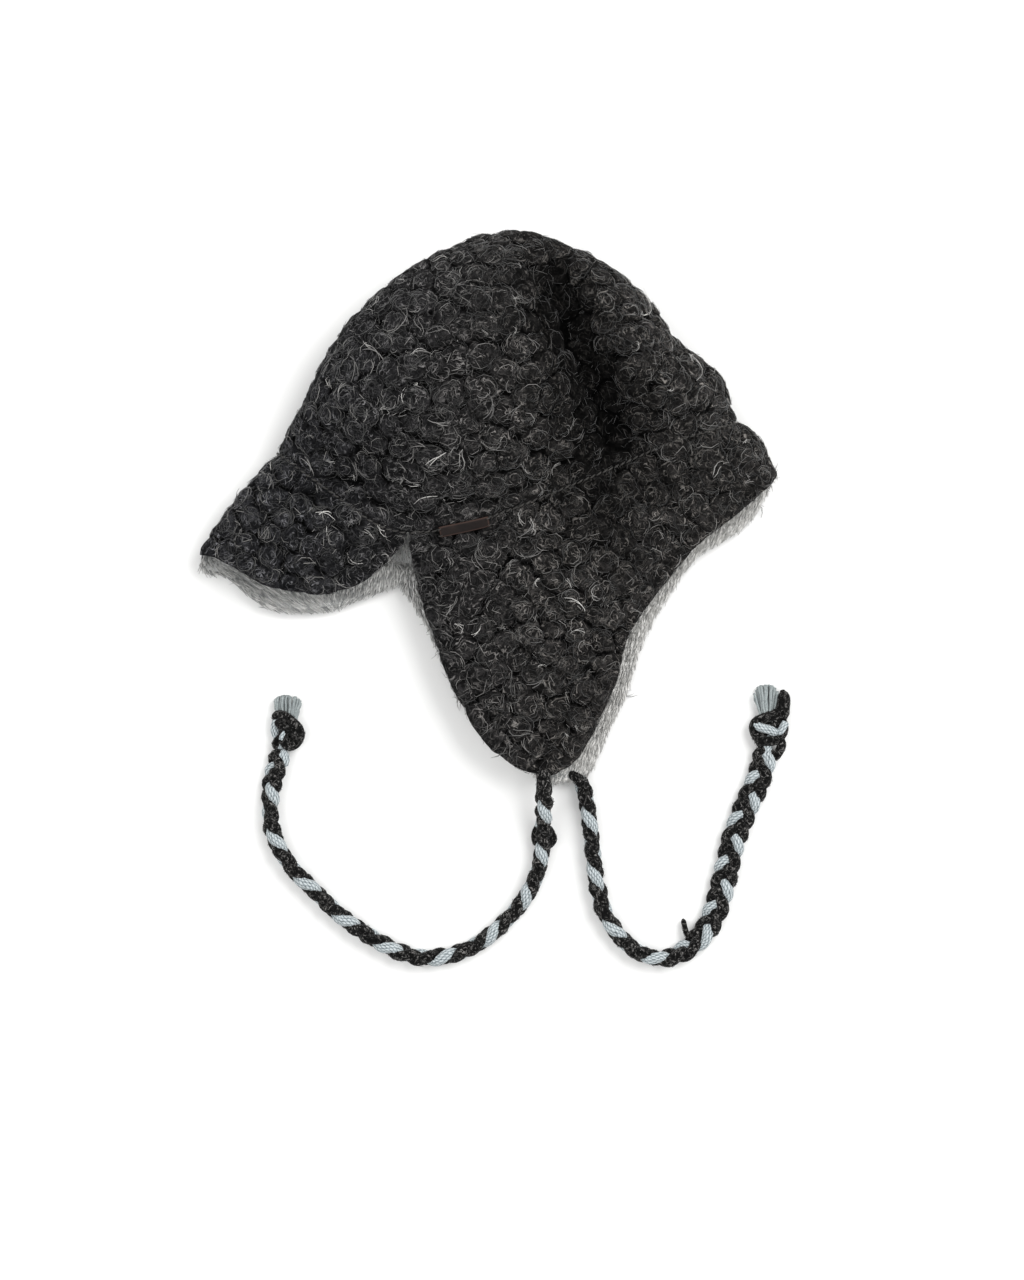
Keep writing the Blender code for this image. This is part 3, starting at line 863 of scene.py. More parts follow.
def stitch_tree():
    """Puff a wall's outer skin up round the nearest stitch, so that stitches press on each other
    in deep creases, and note each point's place on its stitch for the material."""
    tree, given, sockets = new_tree("puffed stitches", {
        "Stitches": "NodeSocketObject",
        "Material": "NodeSocketMaterial",
        "Puff": "NodeSocketFloat",
        "Wobble": "NodeSocketFloat",
        "Felting": "NodeSocketFloat",
        "Seed": "NodeSocketInt",
    })
    info = add_node(tree, "GeometryNodeObjectInfo", {"Object": given["Stitches"]})
    stitches = info.outputs["Geometry"]
    place = tree.nodes.new("GeometryNodeInputPosition").outputs[0]
    wobble = add_node(tree, "ShaderNodeTexNoise", {"Scale": 1 / (7 * MM), "Detail": 2.0})
    centred = add_node(tree, "ShaderNodeVectorMath", {0: wobble.outputs["Color"], 1: (0.5, 0.5, 0.5)}, operation="SUBTRACT")
    shift = add_node(tree, "ShaderNodeVectorMath", {0: centred.outputs[0], "Scale": given["Wobble"]}, operation="SCALE")
    moved = add_node(tree, "ShaderNodeVectorMath", {0: place, 1: shift.outputs[0]}, operation="ADD").outputs[0]
    index = add_node(tree, "GeometryNodeSampleNearest", {0: stitches, 1: moved}).outputs[0]
    position = add_node(
        tree, "GeometryNodeSampleIndex", {0: stitches, 1: place, "Index": index}, data_type="FLOAT_VECTOR",
    ).outputs[0]
    outward = sampled(tree, stitches, index, "outward")
    ahead = sampled(tree, stitches, index, "along")
    size = sampled(tree, stitches, index, "size")
    # The painted shade of the nearest stitch, which darkens the wool's colour
    matted = sampled(tree, stitches, index, "matted", "FLOAT")
    away = add_node(tree, "ShaderNodeVectorMath", {0: moved, 1: position}, operation="SUBTRACT").outputs[0]
    across = add_node(tree, "ShaderNodeVectorMath", {0: outward, 1: ahead}, operation="CROSS_PRODUCT").outputs[0]
    lengthwise = add_node(tree, "ShaderNodeVectorMath", {0: away, 1: ahead}, operation="DOT_PRODUCT").outputs["Value"]
    crosswise = add_node(tree, "ShaderNodeVectorMath", {0: away, 1: across}, operation="DOT_PRODUCT").outputs["Value"]
    flat = add_node(tree, "ShaderNodeCombineXYZ", {0: lengthwise, 1: crosswise}).outputs[0]
    own = add_node(tree, "ShaderNodeVectorMath", {0: flat, 1: size}, operation="DIVIDE").outputs[0]
    square = add_node(tree, "ShaderNodeVectorMath", {0: own, 1: own}, operation="DOT_PRODUCT").outputs["Value"]
    left = add_node(tree, "ShaderNodeMath", {0: 1.0, 1: square}, operation="SUBTRACT", use_clamp=True).outputs[0]
    dome = add_node(tree, "ShaderNodeMath", {0: left, 1: 0.5}, operation="POWER").outputs[0]
    noise = add_node(tree, "ShaderNodeTexNoise", {"Scale": 1 / (3 * MM), "Detail": 2.0})
    rough = add_node(tree, "ShaderNodeMath", {0: noise.outputs[0], 1: given["Felting"]}, operation="MULTIPLY").outputs[0]
    high = add_node(tree, "ShaderNodeSeparateXYZ", {0: size}).outputs[2]
    puff = add_node(tree, "ShaderNodeMath", {0: dome, 1: high}, operation="MULTIPLY").outputs[0]
    height = add_node(tree, "ShaderNodeMath", {0: puff, 1: given["Puff"], 2: rough}, operation="MULTIPLY_ADD").outputs[0]
    masked = add_node(tree, "ShaderNodeMath", {0: height, 1: attribute(tree, "open_skin", "FLOAT")}, operation="MULTIPLY").outputs[0]
    normal = tree.nodes.new("GeometryNodeInputNormal").outputs[0]
    push = add_node(tree, "ShaderNodeVectorMath", {0: normal, "Scale": masked}, operation="SCALE").outputs[0]
    parts = add_node(tree, "ShaderNodeSeparateXYZ", {0: own}).outputs
    grain = add_node(tree, "ShaderNodeCombineXYZ", {0: parts[0], 1: parts[1], 2: dome}).outputs[0]
    random = add_node(tree, "FunctionNodeRandomValue", {"ID": index, "Seed": given["Seed"]}, data_type="FLOAT").outputs[1]
    made = given["Geometry"]
    round_it = add_node(tree, "ShaderNodeVectorMath", {0: outward, 1: away}, operation="CROSS_PRODUCT").outputs[0]
    # The painted shade is kept with the grain, comb and tone, for the materials
    kept_values = (
        ("grain", grain, "FLOAT_VECTOR"), ("comb", round_it, "FLOAT_VECTOR"), ("tone", random, "FLOAT"), ("matted", matted, "FLOAT"),
    )
    for name, value, data_type in kept_values:
        made = add_node(
            tree, "GeometryNodeStoreNamedAttribute", {"Geometry": made, "Name": name, "Value": value},
            data_type=data_type, domain="POINT",
        ).outputs[0]
    puffed = add_node(tree, "GeometryNodeSetPosition", {"Geometry": made, "Offset": push}).outputs[0]
    above = add_node(tree, "ShaderNodeVectorMath", {0: place, 1: (-10, -10, FLOOR_GAP * MM)}, operation="MAXIMUM").outputs[0]
    kept = add_node(tree, "GeometryNodeSetPosition", {"Geometry": puffed, "Position": above}).outputs[0]
    real = add_node(tree, "GeometryNodeRealizeInstances", {0: kept}).outputs[0]
    done = add_node(tree, "GeometryNodeSetMaterial", {0: real, "Material": given["Material"]}).outputs[0]
    add_node(tree, "NodeGroupOutput", {0: done})
    return tree, sockets


def scatter_tree(kinds):
    """Spread fibres over a surface, where its cover attribute says, lying along its comb attribute."""
    tree, given, sockets = new_tree("fibres over a surface", {
        "Kinds": "NodeSocketCollection",
        "Material": "NodeSocketMaterial",
        "Density": "NodeSocketFloat",
        "Tufts": "NodeSocketFloat",
        "Spin": "NodeSocketFloat",
        "Smallest": "NodeSocketFloat",
        "Largest": "NodeSocketFloat",
        "Seed": "NodeSocketInt",
    })
    cover = add_node(tree, "ShaderNodeMath", {0: attribute(tree, "cover", "FLOAT"), 1: given["Density"]}, operation="MULTIPLY")
    spread = add_node(tree, "GeometryNodeDistributePointsOnFaces", {
        "Mesh": given["Geometry"], "Density": cover.outputs[0], "Seed": given["Seed"],
    })
    combed = add_node(
        tree, "FunctionNodeAlignRotationToVector",
        {"Rotation": spread.outputs["Rotation"], "Vector": attribute(tree, "comb", "FLOAT_VECTOR")},
        axis="X", pivot_axis="Z",
    )
    half_turn = random_value(tree, given["Seed"], -1, 1)
    angle = add_node(tree, "ShaderNodeMath", {0: half_turn, 1: given["Spin"]}, operation="MULTIPLY")
    spin = add_node(tree, "FunctionNodeAxisAngleToRotation", {"Axis": (0, 0, 1), "Angle": angle.outputs[0]})
    turned = add_node(tree, "FunctionNodeRotateRotation", {0: combed.outputs[0], 1: spin.outputs[0]}, rotation_space="LOCAL")
    share = random_value(tree, add_node(tree, "ShaderNodeMath", {0: given["Seed"], 1: 5.0}).outputs[0], 0, 1)
    size = add_node(tree, "ShaderNodeMix", {0: share, 2: given["Smallest"], 3: given["Largest"]})
    kinds_in = add_node(tree, "GeometryNodeCollectionInfo", {
        "Collection": given["Kinds"], "Separate Children": True, "Reset Children": True,
    })
    placed = add_node(tree, "GeometryNodeInstanceOnPoints", {
        "Points": spread.outputs["Points"],
        "Instance": kinds_in.outputs[0],
        "Pick Instance": True,
        "Instance Index": random_pick(tree, given["Seed"], kinds),
        "Rotation": turned.outputs[0],
        "Scale": size.outputs[0],
    })
    made = finish_tree(tree, placed.outputs[0], given, given["Seed"])
    place = tree.nodes.new("GeometryNodeInputPosition")
    above = add_node(tree, "ShaderNodeVectorMath", {0: place.outputs[0], 1: (-10, -10, FLOOR_GAP * MM)}, operation="MAXIMUM")
    kept = add_node(tree, "GeometryNodeSetPosition", {"Geometry": made, "Position": above.outputs[0]})
    add_node(tree, "NodeGroupOutput", {0: kept.outputs[0]})
    return tree, sockets


def kinds_collection(name, shapes, finish):
    """A collection, kept out of the scene, with an object for each kind of fibre."""
    kinds = bpy.data.collections.new(name)
    for number, shape in enumerate(shapes):
        kinds.objects.link(bpy.data.objects.new(f"{name} {number:02}", new_mesh(name, shape, finish)))
    return kinds


# Materials

def laid_fibres(tree, place, turn_deg, spacing, thickness):
    """A mask of short tapering fibres that lie along one direction, each with a brightness of its own;
    spacing is that direction's and the other two directions' in the pattern."""
    turned = add_node(tree, "ShaderNodeMapping", {"Vector": place, "Rotation": (0, 0, math.radians(turn_deg))})
    shrink = tuple(1 / step for step in spacing)
    cells = add_node(tree, "ShaderNodeVectorMath", {0: turned.outputs[0], 1: shrink}, operation="MULTIPLY")
    pattern = add_node(tree, "ShaderNodeTexVoronoi", {"Vector": cells.outputs[0], "Scale": 1.0})
    taper = add_node(tree, "ShaderNodeMapRange", {
        "Value": pattern.outputs["Distance"], "From Min": 0.6 * thickness, "From Max": thickness, "To Min": 1.0, "To Max": 0.0,
    })
    own = add_node(tree, "ShaderNodeSeparateXYZ", {0: pattern.outputs["Color"]})
    bright = add_node(tree, "ShaderNodeMath", {0: own.outputs[0], 1: 1.3}, operation="POWER")
    return add_node(tree, "ShaderNodeMath", {0: taper.outputs[0], 1: bright.outputs[0]}, operation="MULTIPLY").outputs[0]


def ramp(tree, value, *stops):
    """A colour ramp with a (position, hex colour) pair for each stop."""
    node = add_node(tree, "ShaderNodeValToRGB", {0: value})
    elements = node.color_ramp.elements
    while len(elements) < len(stops):
        elements.new(0.5)
    for element, (position, colour) in zip(elements, stops):
        element.position = position
        element.color = linear(colour)
    return node.outputs[0]


def shaded(tree, colour, share, darkest):
    """The colour, down to a share of its brightness where share is 0."""
    level = add_node(tree, "ShaderNodeMapRange", {"Value": share, "To Min": darkest, "To Max": 1.0})
    node = add_node(tree, "ShaderNodeMix", {0: 1.0, 6: colour, 7: level.outputs[0]}, data_type="RGBA", blend_type="MULTIPLY")
    return node.outputs[2]


def outside_painted_shade(tree):
    """1 on wool with no painted shade, and 0 where the painted shade is full."""
    matted = add_node(tree, "ShaderNodeAttribute", attribute_name="matted")
    return add_node(tree, "ShaderNodeMath", {0: 1.0, 1: matted.outputs["Fac"]}, operation="SUBTRACT").outputs[0]


def felted_wool():
    """Felted chunky wool: matt and soft, with fine light fibres wound round each puffed stitch and
    straying over it; painted shade makes it nearly black in the creases between stitches and darker
    in the dent and on other slopes."""
    made, tree, shader = new_material("charcoal felted wool", roughness=0.95, sheen=0.02, specular=0.03)
    place = tree.nodes.new("ShaderNodeTexCoord").outputs["Object"]
    grain = add_node(tree, "ShaderNodeAttribute", attribute_name="grain").outputs["Vector"]
    tone = add_node(tree, "ShaderNodeAttribute", attribute_name="tone").outputs["Fac"]
    own = add_node(tree, "ShaderNodeSeparateXYZ", {0: grain})
    level = add_node(tree, "ShaderNodeVectorMath", {0: grain, 1: (1, 1, 0)}, operation="MULTIPLY")
    reach = add_node(tree, "ShaderNodeVectorMath", {0: level.outputs[0]}, operation="LENGTH")
    round_it = add_node(tree, "ShaderNodeMath", {0: own.outputs[1], 1: own.outputs[0]}, operation="ARCTAN2")
    apart = add_node(tree, "ShaderNodeMath", {0: tone, 1: 90.0}, operation="MULTIPLY")
    wound = add_node(tree, "ShaderNodeCombineXYZ", {0: round_it.outputs[0], 1: reach.outputs["Value"], 2: apart.outputs[0]})
    drift = add_node(tree, "ShaderNodeTexNoise", {"Vector": place, "Scale": 1 / (6 * MM), "Detail": 2.0})
    wavy = add_node(
        tree, "ShaderNodeVectorMath", {0: drift.outputs["Color"], 1: (1.2, 0.5, 0.0), 2: wound.outputs[0]},
        operation="MULTIPLY_ADD",
    ).outputs[0]
    bent = add_node(
        tree, "ShaderNodeVectorMath", {0: drift.outputs["Color"], 1: (14 * MM, 14 * MM, 0.0), 2: place},
        operation="MULTIPLY_ADD",
    ).outputs[0]
    patches = add_node(tree, "ShaderNodeTexNoise", {"Vector": place, "Scale": 1 / (9 * MM), "Detail": 5.0, "Roughness": 0.65})
    grit = add_node(tree, "ShaderNodeTexNoise", {"Vector": bent, "Scale": 1 / (1.5 * MM), "Detail": 3.0, "Roughness": 0.7})
    uneven = add_node(tree, "ShaderNodeMath", {0: grit.outputs["Fac"], 1: patches.outputs["Fac"]}, operation="ADD").outputs[0]
    halved = add_node(tree, "ShaderNodeMath", {0: uneven, 1: 0.5}, operation="MULTIPLY").outputs[0]
    ground = ramp(tree, halved, (0.36, "#060606"), (0.5, "#171717"), (0.64, "#353434"))
    swirl = laid_fibres(tree, wavy, 0, (2.0, 0.14, 1.0), 0.31)
    outer = add_node(tree, "ShaderNodeMapRange", {"Value": reach.outputs["Value"], "From Min": 0.1, "From Max": 0.3})
    light = add_node(tree, "ShaderNodeMath", {0: swirl, 1: outer.outputs[0]}, operation="MULTIPLY").outputs[0]
    for turn_deg in (10, 55, 100, 145):
        crossing = laid_fibres(tree, bent, turn_deg, (14 * MM, 1.35 * MM, 4.5 * MM), 0.28)
        light = add_node(tree, "ShaderNodeMath", {0: light, 1: crossing}, operation="MAXIMUM").outputs[0]
    clumps = add_node(tree, "ShaderNodeTexNoise", {"Vector": place, "Scale": 1 / (10 * MM), "Detail": 2.0})
    thick = add_node(tree, "ShaderNodeMapRange", {
        "Value": clumps.outputs["Fac"], "From Min": 0.38, "From Max": 0.62, "To Min": 0.35, "To Max": 1.0,
    })
    seen = add_node(tree, "ShaderNodeMath", {0: light, 1: thick.outputs[0]}, operation="MULTIPLY").outputs[0]
    mixed = add_node(tree, "ShaderNodeMix", {0: seen, 6: ground, 7: linear("#8d8b88")}, data_type="RGBA").outputs[2]
    # Painted shade: the colour goes nearly black where the skin lies deep in a crease between stitches
    depth = add_node(tree, "ShaderNodeAttribute", attribute_name="crease").outputs["Fac"]
    outside_crease_shade = add_node(tree, "ShaderNodeMapRange", {"Value": depth, "From Min": 0.5, "From Max": -0.2})
    crease_shaded_colour = shaded(tree, mixed, outside_crease_shade.outputs[0], 0.05)
    spot = add_node(tree, "ShaderNodeSeparateXYZ", {0: place})
    front = add_node(tree, "ShaderNodeMapRange", {"Value": spot.outputs[0], "From Min": 0.04, "From Max": -0.12})
    tint = add_node(tree, "ShaderNodeMix", {
        0: front.outputs[0], 6: linear("#fdf9f6"), 7: linear("#e6e9f4"),
    }, data_type="RGBA").outputs[2]
    crease_shaded_colour = add_node(tree, "ShaderNodeMix", {0: 1.0, 6: crease_shaded_colour, 7: tint}, data_type="RGBA", blend_type="MULTIPLY").outputs[2]
    # Painted shade also darkens the colour in the dent and on other slopes
    tree.links.new(shaded(tree, crease_shaded_colour, outside_painted_shade(tree), 0.16), shader.inputs["Base Color"])
    raised = add_node(tree, "ShaderNodeMath", {0: seen, 1: 0.3, 2: patches.outputs["Fac"]}, operation="MULTIPLY_ADD").outputs[0]
    bump = add_node(tree, "ShaderNodeBump", {"Height": raised, "Distance": 1.4 * MM, "Strength": 1.0})
    tree.links.new(bump.outputs[0], shader.inputs["Normal"])
    return made


def toned_fibre(name, *stops, roughness=0.7, sheen=0.3):
    """Loose fibres, each with a tone of its own from dark to light along the ramp's stops, darkened where the wool
    carries painted shade.
    """
    made, tree, shader = new_material(name, roughness=roughness, sheen=sheen, specular=0.25)
    tone = add_node(tree, "ShaderNodeAttribute", attribute_name="tone")
    colour = ramp(tree, tone.outputs["Fac"], *stops)
    tree.links.new(shaded(tree, colour, outside_painted_shade(tree), 0.25), shader.inputs["Base Color"])
    return made


def spun_yarn(name, dark, light, thread_width, slant, depth, **settings):
    """Yarn whose fine threads run along it at a slant, from the piece's own UV in metres, with painted shade in the
    grooves between them.
    """
    made, tree, shader = new_material(name, **settings)
    place = tree.nodes.new("ShaderNodeUVMap").outputs[0]
    parts = add_node(tree, "ShaderNodeSeparateXYZ", {0: place})
    slanted = add_node(tree, "ShaderNodeMath", {0: parts.outputs[1], 1: slant, 2: parts.outputs[0]}, operation="MULTIPLY_ADD")
    phase = add_node(tree, "ShaderNodeMath", {0: slanted.outputs[0], 1: 2 * math.pi / (thread_width * MM)}, operation="MULTIPLY")
    wave = add_node(tree, "ShaderNodeMath", {0: phase.outputs[0]}, operation="SINE")
    obj = tree.nodes.new("ShaderNodeTexCoord").outputs["Object"]
    fuzz = add_node(tree, "ShaderNodeTexNoise", {"Vector": obj, "Scale": 1 / (1.6 * MM), "Detail": 4.0, "Roughness": 0.7})
    rough_wave = add_node(tree, "ShaderNodeMath", {0: wave.outputs[0], 1: 0.18, 2: fuzz.outputs["Fac"]}, operation="MULTIPLY_ADD")
    # Painted shade: the colour follows the threads' height, darker in the grooves between them
    tree.links.new(ramp(tree, rough_wave.outputs[0], (0.32, dark), (0.68, light)), shader.inputs["Base Color"])
    bump = add_node(tree, "ShaderNodeBump", {"Height": rough_wave.outputs[0], "Distance": depth * MM, "Strength": 0.8})
    tree.links.new(bump.outputs[0], shader.inputs["Normal"])
    return made


def braided_cotton():
    """Soft braided cotton cord, pale blue grey: small slanting lozenges, with painted shade darkening the gaps between
    them.
    """
    made, tree, shader = new_material("blue grey braided cotton", roughness=0.85, sheen=0.2, specular=0.2)
    parts = add_node(tree, "ShaderNodeSeparateXYZ", {0: tree.nodes.new("ShaderNodeUVMap").outputs[0]})
    waves = []
    for slant in (0.55, -0.55):
        slanted = add_node(tree, "ShaderNodeMath", {0: parts.outputs[1], 1: slant, 2: parts.outputs[0]}, operation="MULTIPLY_ADD")
        phase = add_node(tree, "ShaderNodeMath", {0: slanted.outputs[0], 1: math.pi / (2.2 * MM)}, operation="MULTIPLY")
        wave = add_node(tree, "ShaderNodeMath", {0: phase.outputs[0]}, operation="SINE")
        waves.append(add_node(tree, "ShaderNodeMath", {0: wave.outputs[0]}, operation="ABSOLUTE").outputs[0])
    lozenge = add_node(tree, "ShaderNodeMath", {0: waves[0], 1: waves[1]}, operation="MULTIPLY")
    place = tree.nodes.new("ShaderNodeTexCoord").outputs["Object"]
    fuzz = add_node(tree, "ShaderNodeTexNoise", {"Vector": place, "Scale": 1 / (1.2 * MM), "Detail": 3.0, "Roughness": 0.7})
    height = add_node(tree, "ShaderNodeMath", {0: lozenge.outputs[0], 1: 0.6, 2: fuzz.outputs["Fac"]}, operation="MULTIPLY_ADD").outputs[0]
    # Painted shade: the colour follows the lozenges' height, dark in the gaps between them
    colour = ramp(tree, height, (0.38, "#414749"), (0.66, "#939ca0"), (0.98, "#c3cacc"))
    tree.links.new(colour, shader.inputs["Base Color"])
    bump = add_node(tree, "ShaderNodeBump", {"Height": height, "Distance": 0.6 * MM, "Strength": 0.9})
    tree.links.new(bump.outputs[0], shader.inputs["Normal"])
    return made


def flecked_yarn():
    """Soft spun wool for the plaits: nearly black, with many short lighter hairs caught in its twist."""
    made, tree, shader = new_material("charcoal wool yarn", roughness=0.95, sheen=0.05, specular=0.08)
    place = tree.nodes.new("ShaderNodeTexCoord").outputs["Object"]
    clouds = add_node(tree, "ShaderNodeTexNoise", {"Vector": place, "Scale": 1 / (2.2 * MM), "Detail": 4.0, "Roughness": 0.75})
    ground = ramp(tree, clouds.outputs["Fac"], (0.38, "#040404"), (0.55, "#0c0c0c"), (0.72, "#1e1e1d"))
    drift = add_node(tree, "ShaderNodeTexNoise", {"Vector": place, "Scale": 1 / (3 * MM), "Detail": 1.0})
    bent = add_node(
        tree, "ShaderNodeVectorMath", {0: drift.outputs["Color"], 1: (6 * MM, 6 * MM, 0.0), 2: place},
        operation="MULTIPLY_ADD",
    ).outputs[0]
    light = 0.0
    for turn_deg in (20, 75, 130):
        hairs = laid_fibres(tree, bent, turn_deg, (5.5 * MM, 1.15 * MM, 2 * MM), 0.32)
        light = add_node(tree, "ShaderNodeMath", {0: light, 1: hairs}, operation="MAXIMUM").outputs[0]
    mixed = add_node(tree, "ShaderNodeMix", {0: light, 6: ground, 7: linear("#7d7b79")}, data_type="RGBA").outputs[2]
    tree.links.new(mixed, shader.inputs["Base Color"])
    bump = add_node(tree, "ShaderNodeBump", {"Height": clouds.outputs["Fac"], "Distance": 1.2 * MM, "Strength": 1.0})
    tree.links.new(bump.outputs[0], shader.inputs["Normal"])
    return made


def brown_leather():
    """Smooth vegetable-tanned leather: fine grain, low satin sheen, and a painted highlight that makes its edges
    lighter and redder.
    """
    made, tree, shader = new_material("brown leather", roughness=0.6, specular=0.15)
    place = tree.nodes.new("ShaderNodeTexCoord").outputs["Object"]
    grain = add_node(tree, "ShaderNodeTexVoronoi", {"Vector": place, "Scale": 1 / (0.7 * MM)})
    clouds = add_node(tree, "ShaderNodeTexNoise", {"Vector": place, "Scale": 1 / (8 * MM), "Detail": 4.0})
    colour = ramp(tree, clouds.outputs["Fac"], (0.3, "#15100f"), (0.6, "#1d1614"), (0.8, "#261c1a"))
    # Painted highlight: the colour turns lighter and redder within 1.1 mm of the label's edges
    place_on_label = add_node(tree, "ShaderNodeUVMap")
    edge = add_node(tree, "ShaderNodeSeparateXYZ", {0: place_on_label.outputs[0]})
    edge_highlight = add_node(tree, "ShaderNodeMapRange", {"Value": edge.outputs[0], "From Min": 0.0, "From Max": 1.1 * MM, "To Min": 0.8, "To Max": 0.0})
    mixed = add_node(tree, "ShaderNodeMix", {0: edge_highlight.outputs[0], 6: colour, 7: linear("#4a3933")}, data_type="RGBA")
    tree.links.new(mixed.outputs[2], shader.inputs["Base Color"])
    bump = add_node(tree, "ShaderNodeBump", {"Height": grain.outputs["Distance"], "Distance": 0.12 * MM, "Strength": 0.6})
    tree.links.new(bump.outputs[0], shader.inputs["Normal"])
    return made


def combed_plush():
    """Short combed polyester pile: streaks where its tufts lean together, cooler at the front of the
    hat and warmer at the back; painted light makes it lighter at the back and in the notch, where the pile lies in the
    near half's shadow."""
    made, tree, shader = new_material("combed plush pile", roughness=0.85, sheen=0.3, specular=0.1)
    tone = add_node(tree, "ShaderNodeAttribute", attribute_name="tone").outputs["Fac"]
    front = ramp(tree, tone, (0.0, "#676a6b"), (0.5, "#b3b3b1"), (1.0, "#ebeae8"))
    # The back's lighter ramp, which reaches forward into the notch, is painted light for pile in the near half's shadow
    back = ramp(tree, tone, (0.0, "#aaa9a6"), (0.5, "#cbcac7"), (1.0, "#e0dfdc"))
    place = add_node(tree, "ShaderNodeSeparateXYZ", {0: tree.nodes.new("ShaderNodeTexCoord").outputs["Object"]})
    share = add_node(tree, "ShaderNodeMapRange", {"Value": place.outputs[0], "From Min": -0.1, "From Max": 0.05})
    mixed = add_node(tree, "ShaderNodeMix", {0: share.outputs[0], 6: front, 7: back}, data_type="RGBA")
    tree.links.new(mixed.outputs[2], shader.inputs["Base Color"])
    return made


def plush_backing():
    """The knitted ground that the pile stands on: dull grey, seen only deep between the hairs."""
    made, tree, shader = new_material("plush ground cloth", roughness=0.9, sheen=0.3, specular=0.2)
    place = tree.nodes.new("ShaderNodeTexCoord").outputs["Object"]
    stretched = add_node(tree, "ShaderNodeMapping", {"Vector": place, "Rotation": (0, 0, 0.5), "Scale": (1, 0.22, 1)})
    streaks = add_node(tree, "ShaderNodeTexNoise", {"Vector": stretched.outputs[0], "Scale": 1 / (1.0 * MM), "Detail": 4.0})
    colour = ramp(tree, streaks.outputs["Fac"], (0.3, "#8c8e8e"), (0.55, "#aeafae"), (0.75, "#cacac7"))
    tree.links.new(colour, shader.inputs["Base Color"])
    bump = add_node(tree, "ShaderNodeBump", {"Height": streaks.outputs["Fac"], "Distance": 1.0 * MM, "Strength": 0.9})
    tree.links.new(bump.outputs[0], shader.inputs["Normal"])
    return made


def pale_floor():
    """Matt white card."""
    made, _, shader = new_material("white card", roughness=0.9, specular=0.1)
    shader.inputs["Base Color"].default_value = linear("#f4f4f3")
    return made


# The knit

def knit_lines(piece):
    """Lines over a piece on which its bobbles may stand, the one by its lower edge first."""
    if piece.ring:
        return [Line("share", t) for t in np.linspace(0.982, 0.015, 2 * CROWN_ROWS)]
    rows = [Line("seam", q) for q in np.arange(ROW_SPACING * 0.45, LONGEST_FLAP, ROW_SPACING / 2)]
    return [Line("rim")] + rows


def spaced(points, first, rng):
    """Numbers of points picked at random, after the first ones, with BOBBLE_SPACE round each."""
    order = np.concatenate([np.arange(first), first + rng.permutation(len(points) - first)])
    kept = []
    for number in order:
        if not kept or np.linalg.norm(points[kept] - points[number], axis=1).min() > BOBBLE_SPACE:
            kept.append(number)
    return np.array(kept)


def bobble_points(piece, rng):
    """Where each bobble of a piece stands, and which way it faces, its size and how much painted shade its wool takes.
    """
    places = []
    for number, line in enumerate(knit_lines(piece)):
        strip = piece.strip(line)
        total = run_lengths(strip.points)[-1]
        pitch = BOBBLE_PITCH / 2 if number else BOBBLE_PITCH
        count = max(round(total / pitch), 1)
        runs = (np.arange(count) + 0.5 + rng.uniform(-0.2, 0.2, count)) * total / count
        chosen = strip.at(np.clip(runs, 0, total))
        places.append(chosen.keep(chosen.on_piece > 0.5))
    first = len(places[0].points)
    rows = Strip(*(np.concatenate(parts) for parts in zip(*places)))
    kept = spaced(rows.points, first, rng)
    rows = rows.keep(kept)
    points = rows.points - rows.normals * SKIN_DEPTH
    count = len(points)
    gaps = np.linalg.norm(points[:, None] - points[None], axis=2)
    room = np.sort(gaps, axis=1)[:, 1:6].mean(axis=1)
    sideways = np.cross(rows.normals, rows.directions)
    swing = np.radians(rng.normal(0, 30, (count, 1)))
    along_row = unit(np.cos(swing) * rows.directions + np.sin(swing) * sideways)
    size = np.column_stack([room * 0.74, room * 0.68, np.ones(count)]) * rng.uniform(0.9, 1.1, (count, 3))
    level = np.clip(np.abs(rows.normals[:, 2]) / 0.5, 0, 1)
    size[:, :2] *= (1.3 - 0.3 * level)[:, None]
    size[:, 2] *= np.where(rng.random(count) < 0.12, 0.78, 1.0) * np.where(kept < first, 0.8, 1.0)
    size[by_label(points, 3) & (rows.normals[:, 2] > 0), 2] *= 0.4
    # Painted shade: how far each stitch's wool is darkened to stand for shade in the crown's dent and on other slopes
    matted = np.clip(hollow_depth(points[:, :2], PAINTED_SHADE_SPOTS), 0, 1) * (rows.normals[:, 2] > -0.2)
    size[:, :2] *= MM
    return points, {"outward": rows.normals, "along": along_row, "size": size, "matted": matted}


def store(mesh, name, values):
    """Keep a number or a direction for each of a mesh's points."""
    values = np.asarray(values, np.float32)
    kind, key = ("FLOAT", "value") if values.ndim == 1 else ("FLOAT_VECTOR", "vector")
    layer = mesh.attributes.get(name) or mesh.attributes.new(name, kind, "POINT")
    layer.data.foreach_set(key, values.ravel())


def points_object(points, attributes):
    mesh = bpy.data.meshes.new("places")
    mesh.from_pydata((points * MM).tolist(), [], [])
    for name, values in attributes.items():
        store(mesh, name, values)
    return new_object("places", mesh)


def curl_path(rng, length, turn_deg, hug, lift, steps):
    """A fibre's way over a bobble: an arc or an S seen from above, bending down round the bobble."""
    share = np.linspace(0, 1, steps + 1)
    bend = math.radians(turn_deg)
    if rng.random() < 0.35:
        heading = bend * np.sin(math.pi * share)
    else:
        heading = bend * (share - 0.5)
    heading = heading + rng.uniform(-0.3, 0.3)
    step = length / steps
    x = np.concatenate([[0], np.cumsum(np.cos(heading[:-1]) * step)])
    y = np.concatenate([[0], np.cumsum(np.sin(heading[:-1]) * step)])
    x -= x.mean()
    y -= y.mean()
    away = np.hypot(x, y)
    z = lift - np.minimum(away**2 / (2 * hug), 2.6)
    z[-1] += rng.uniform(0, 0.7)
    return np.column_stack([x, y, z])


def fibre(path, width):
    """A fine three-sided fibre that thins to both ends."""
    share = np.linspace(-1, 1, len(path))
    return tube(path, width / 2 * (1 - 0.6 * np.abs(share) ** 3), 3)


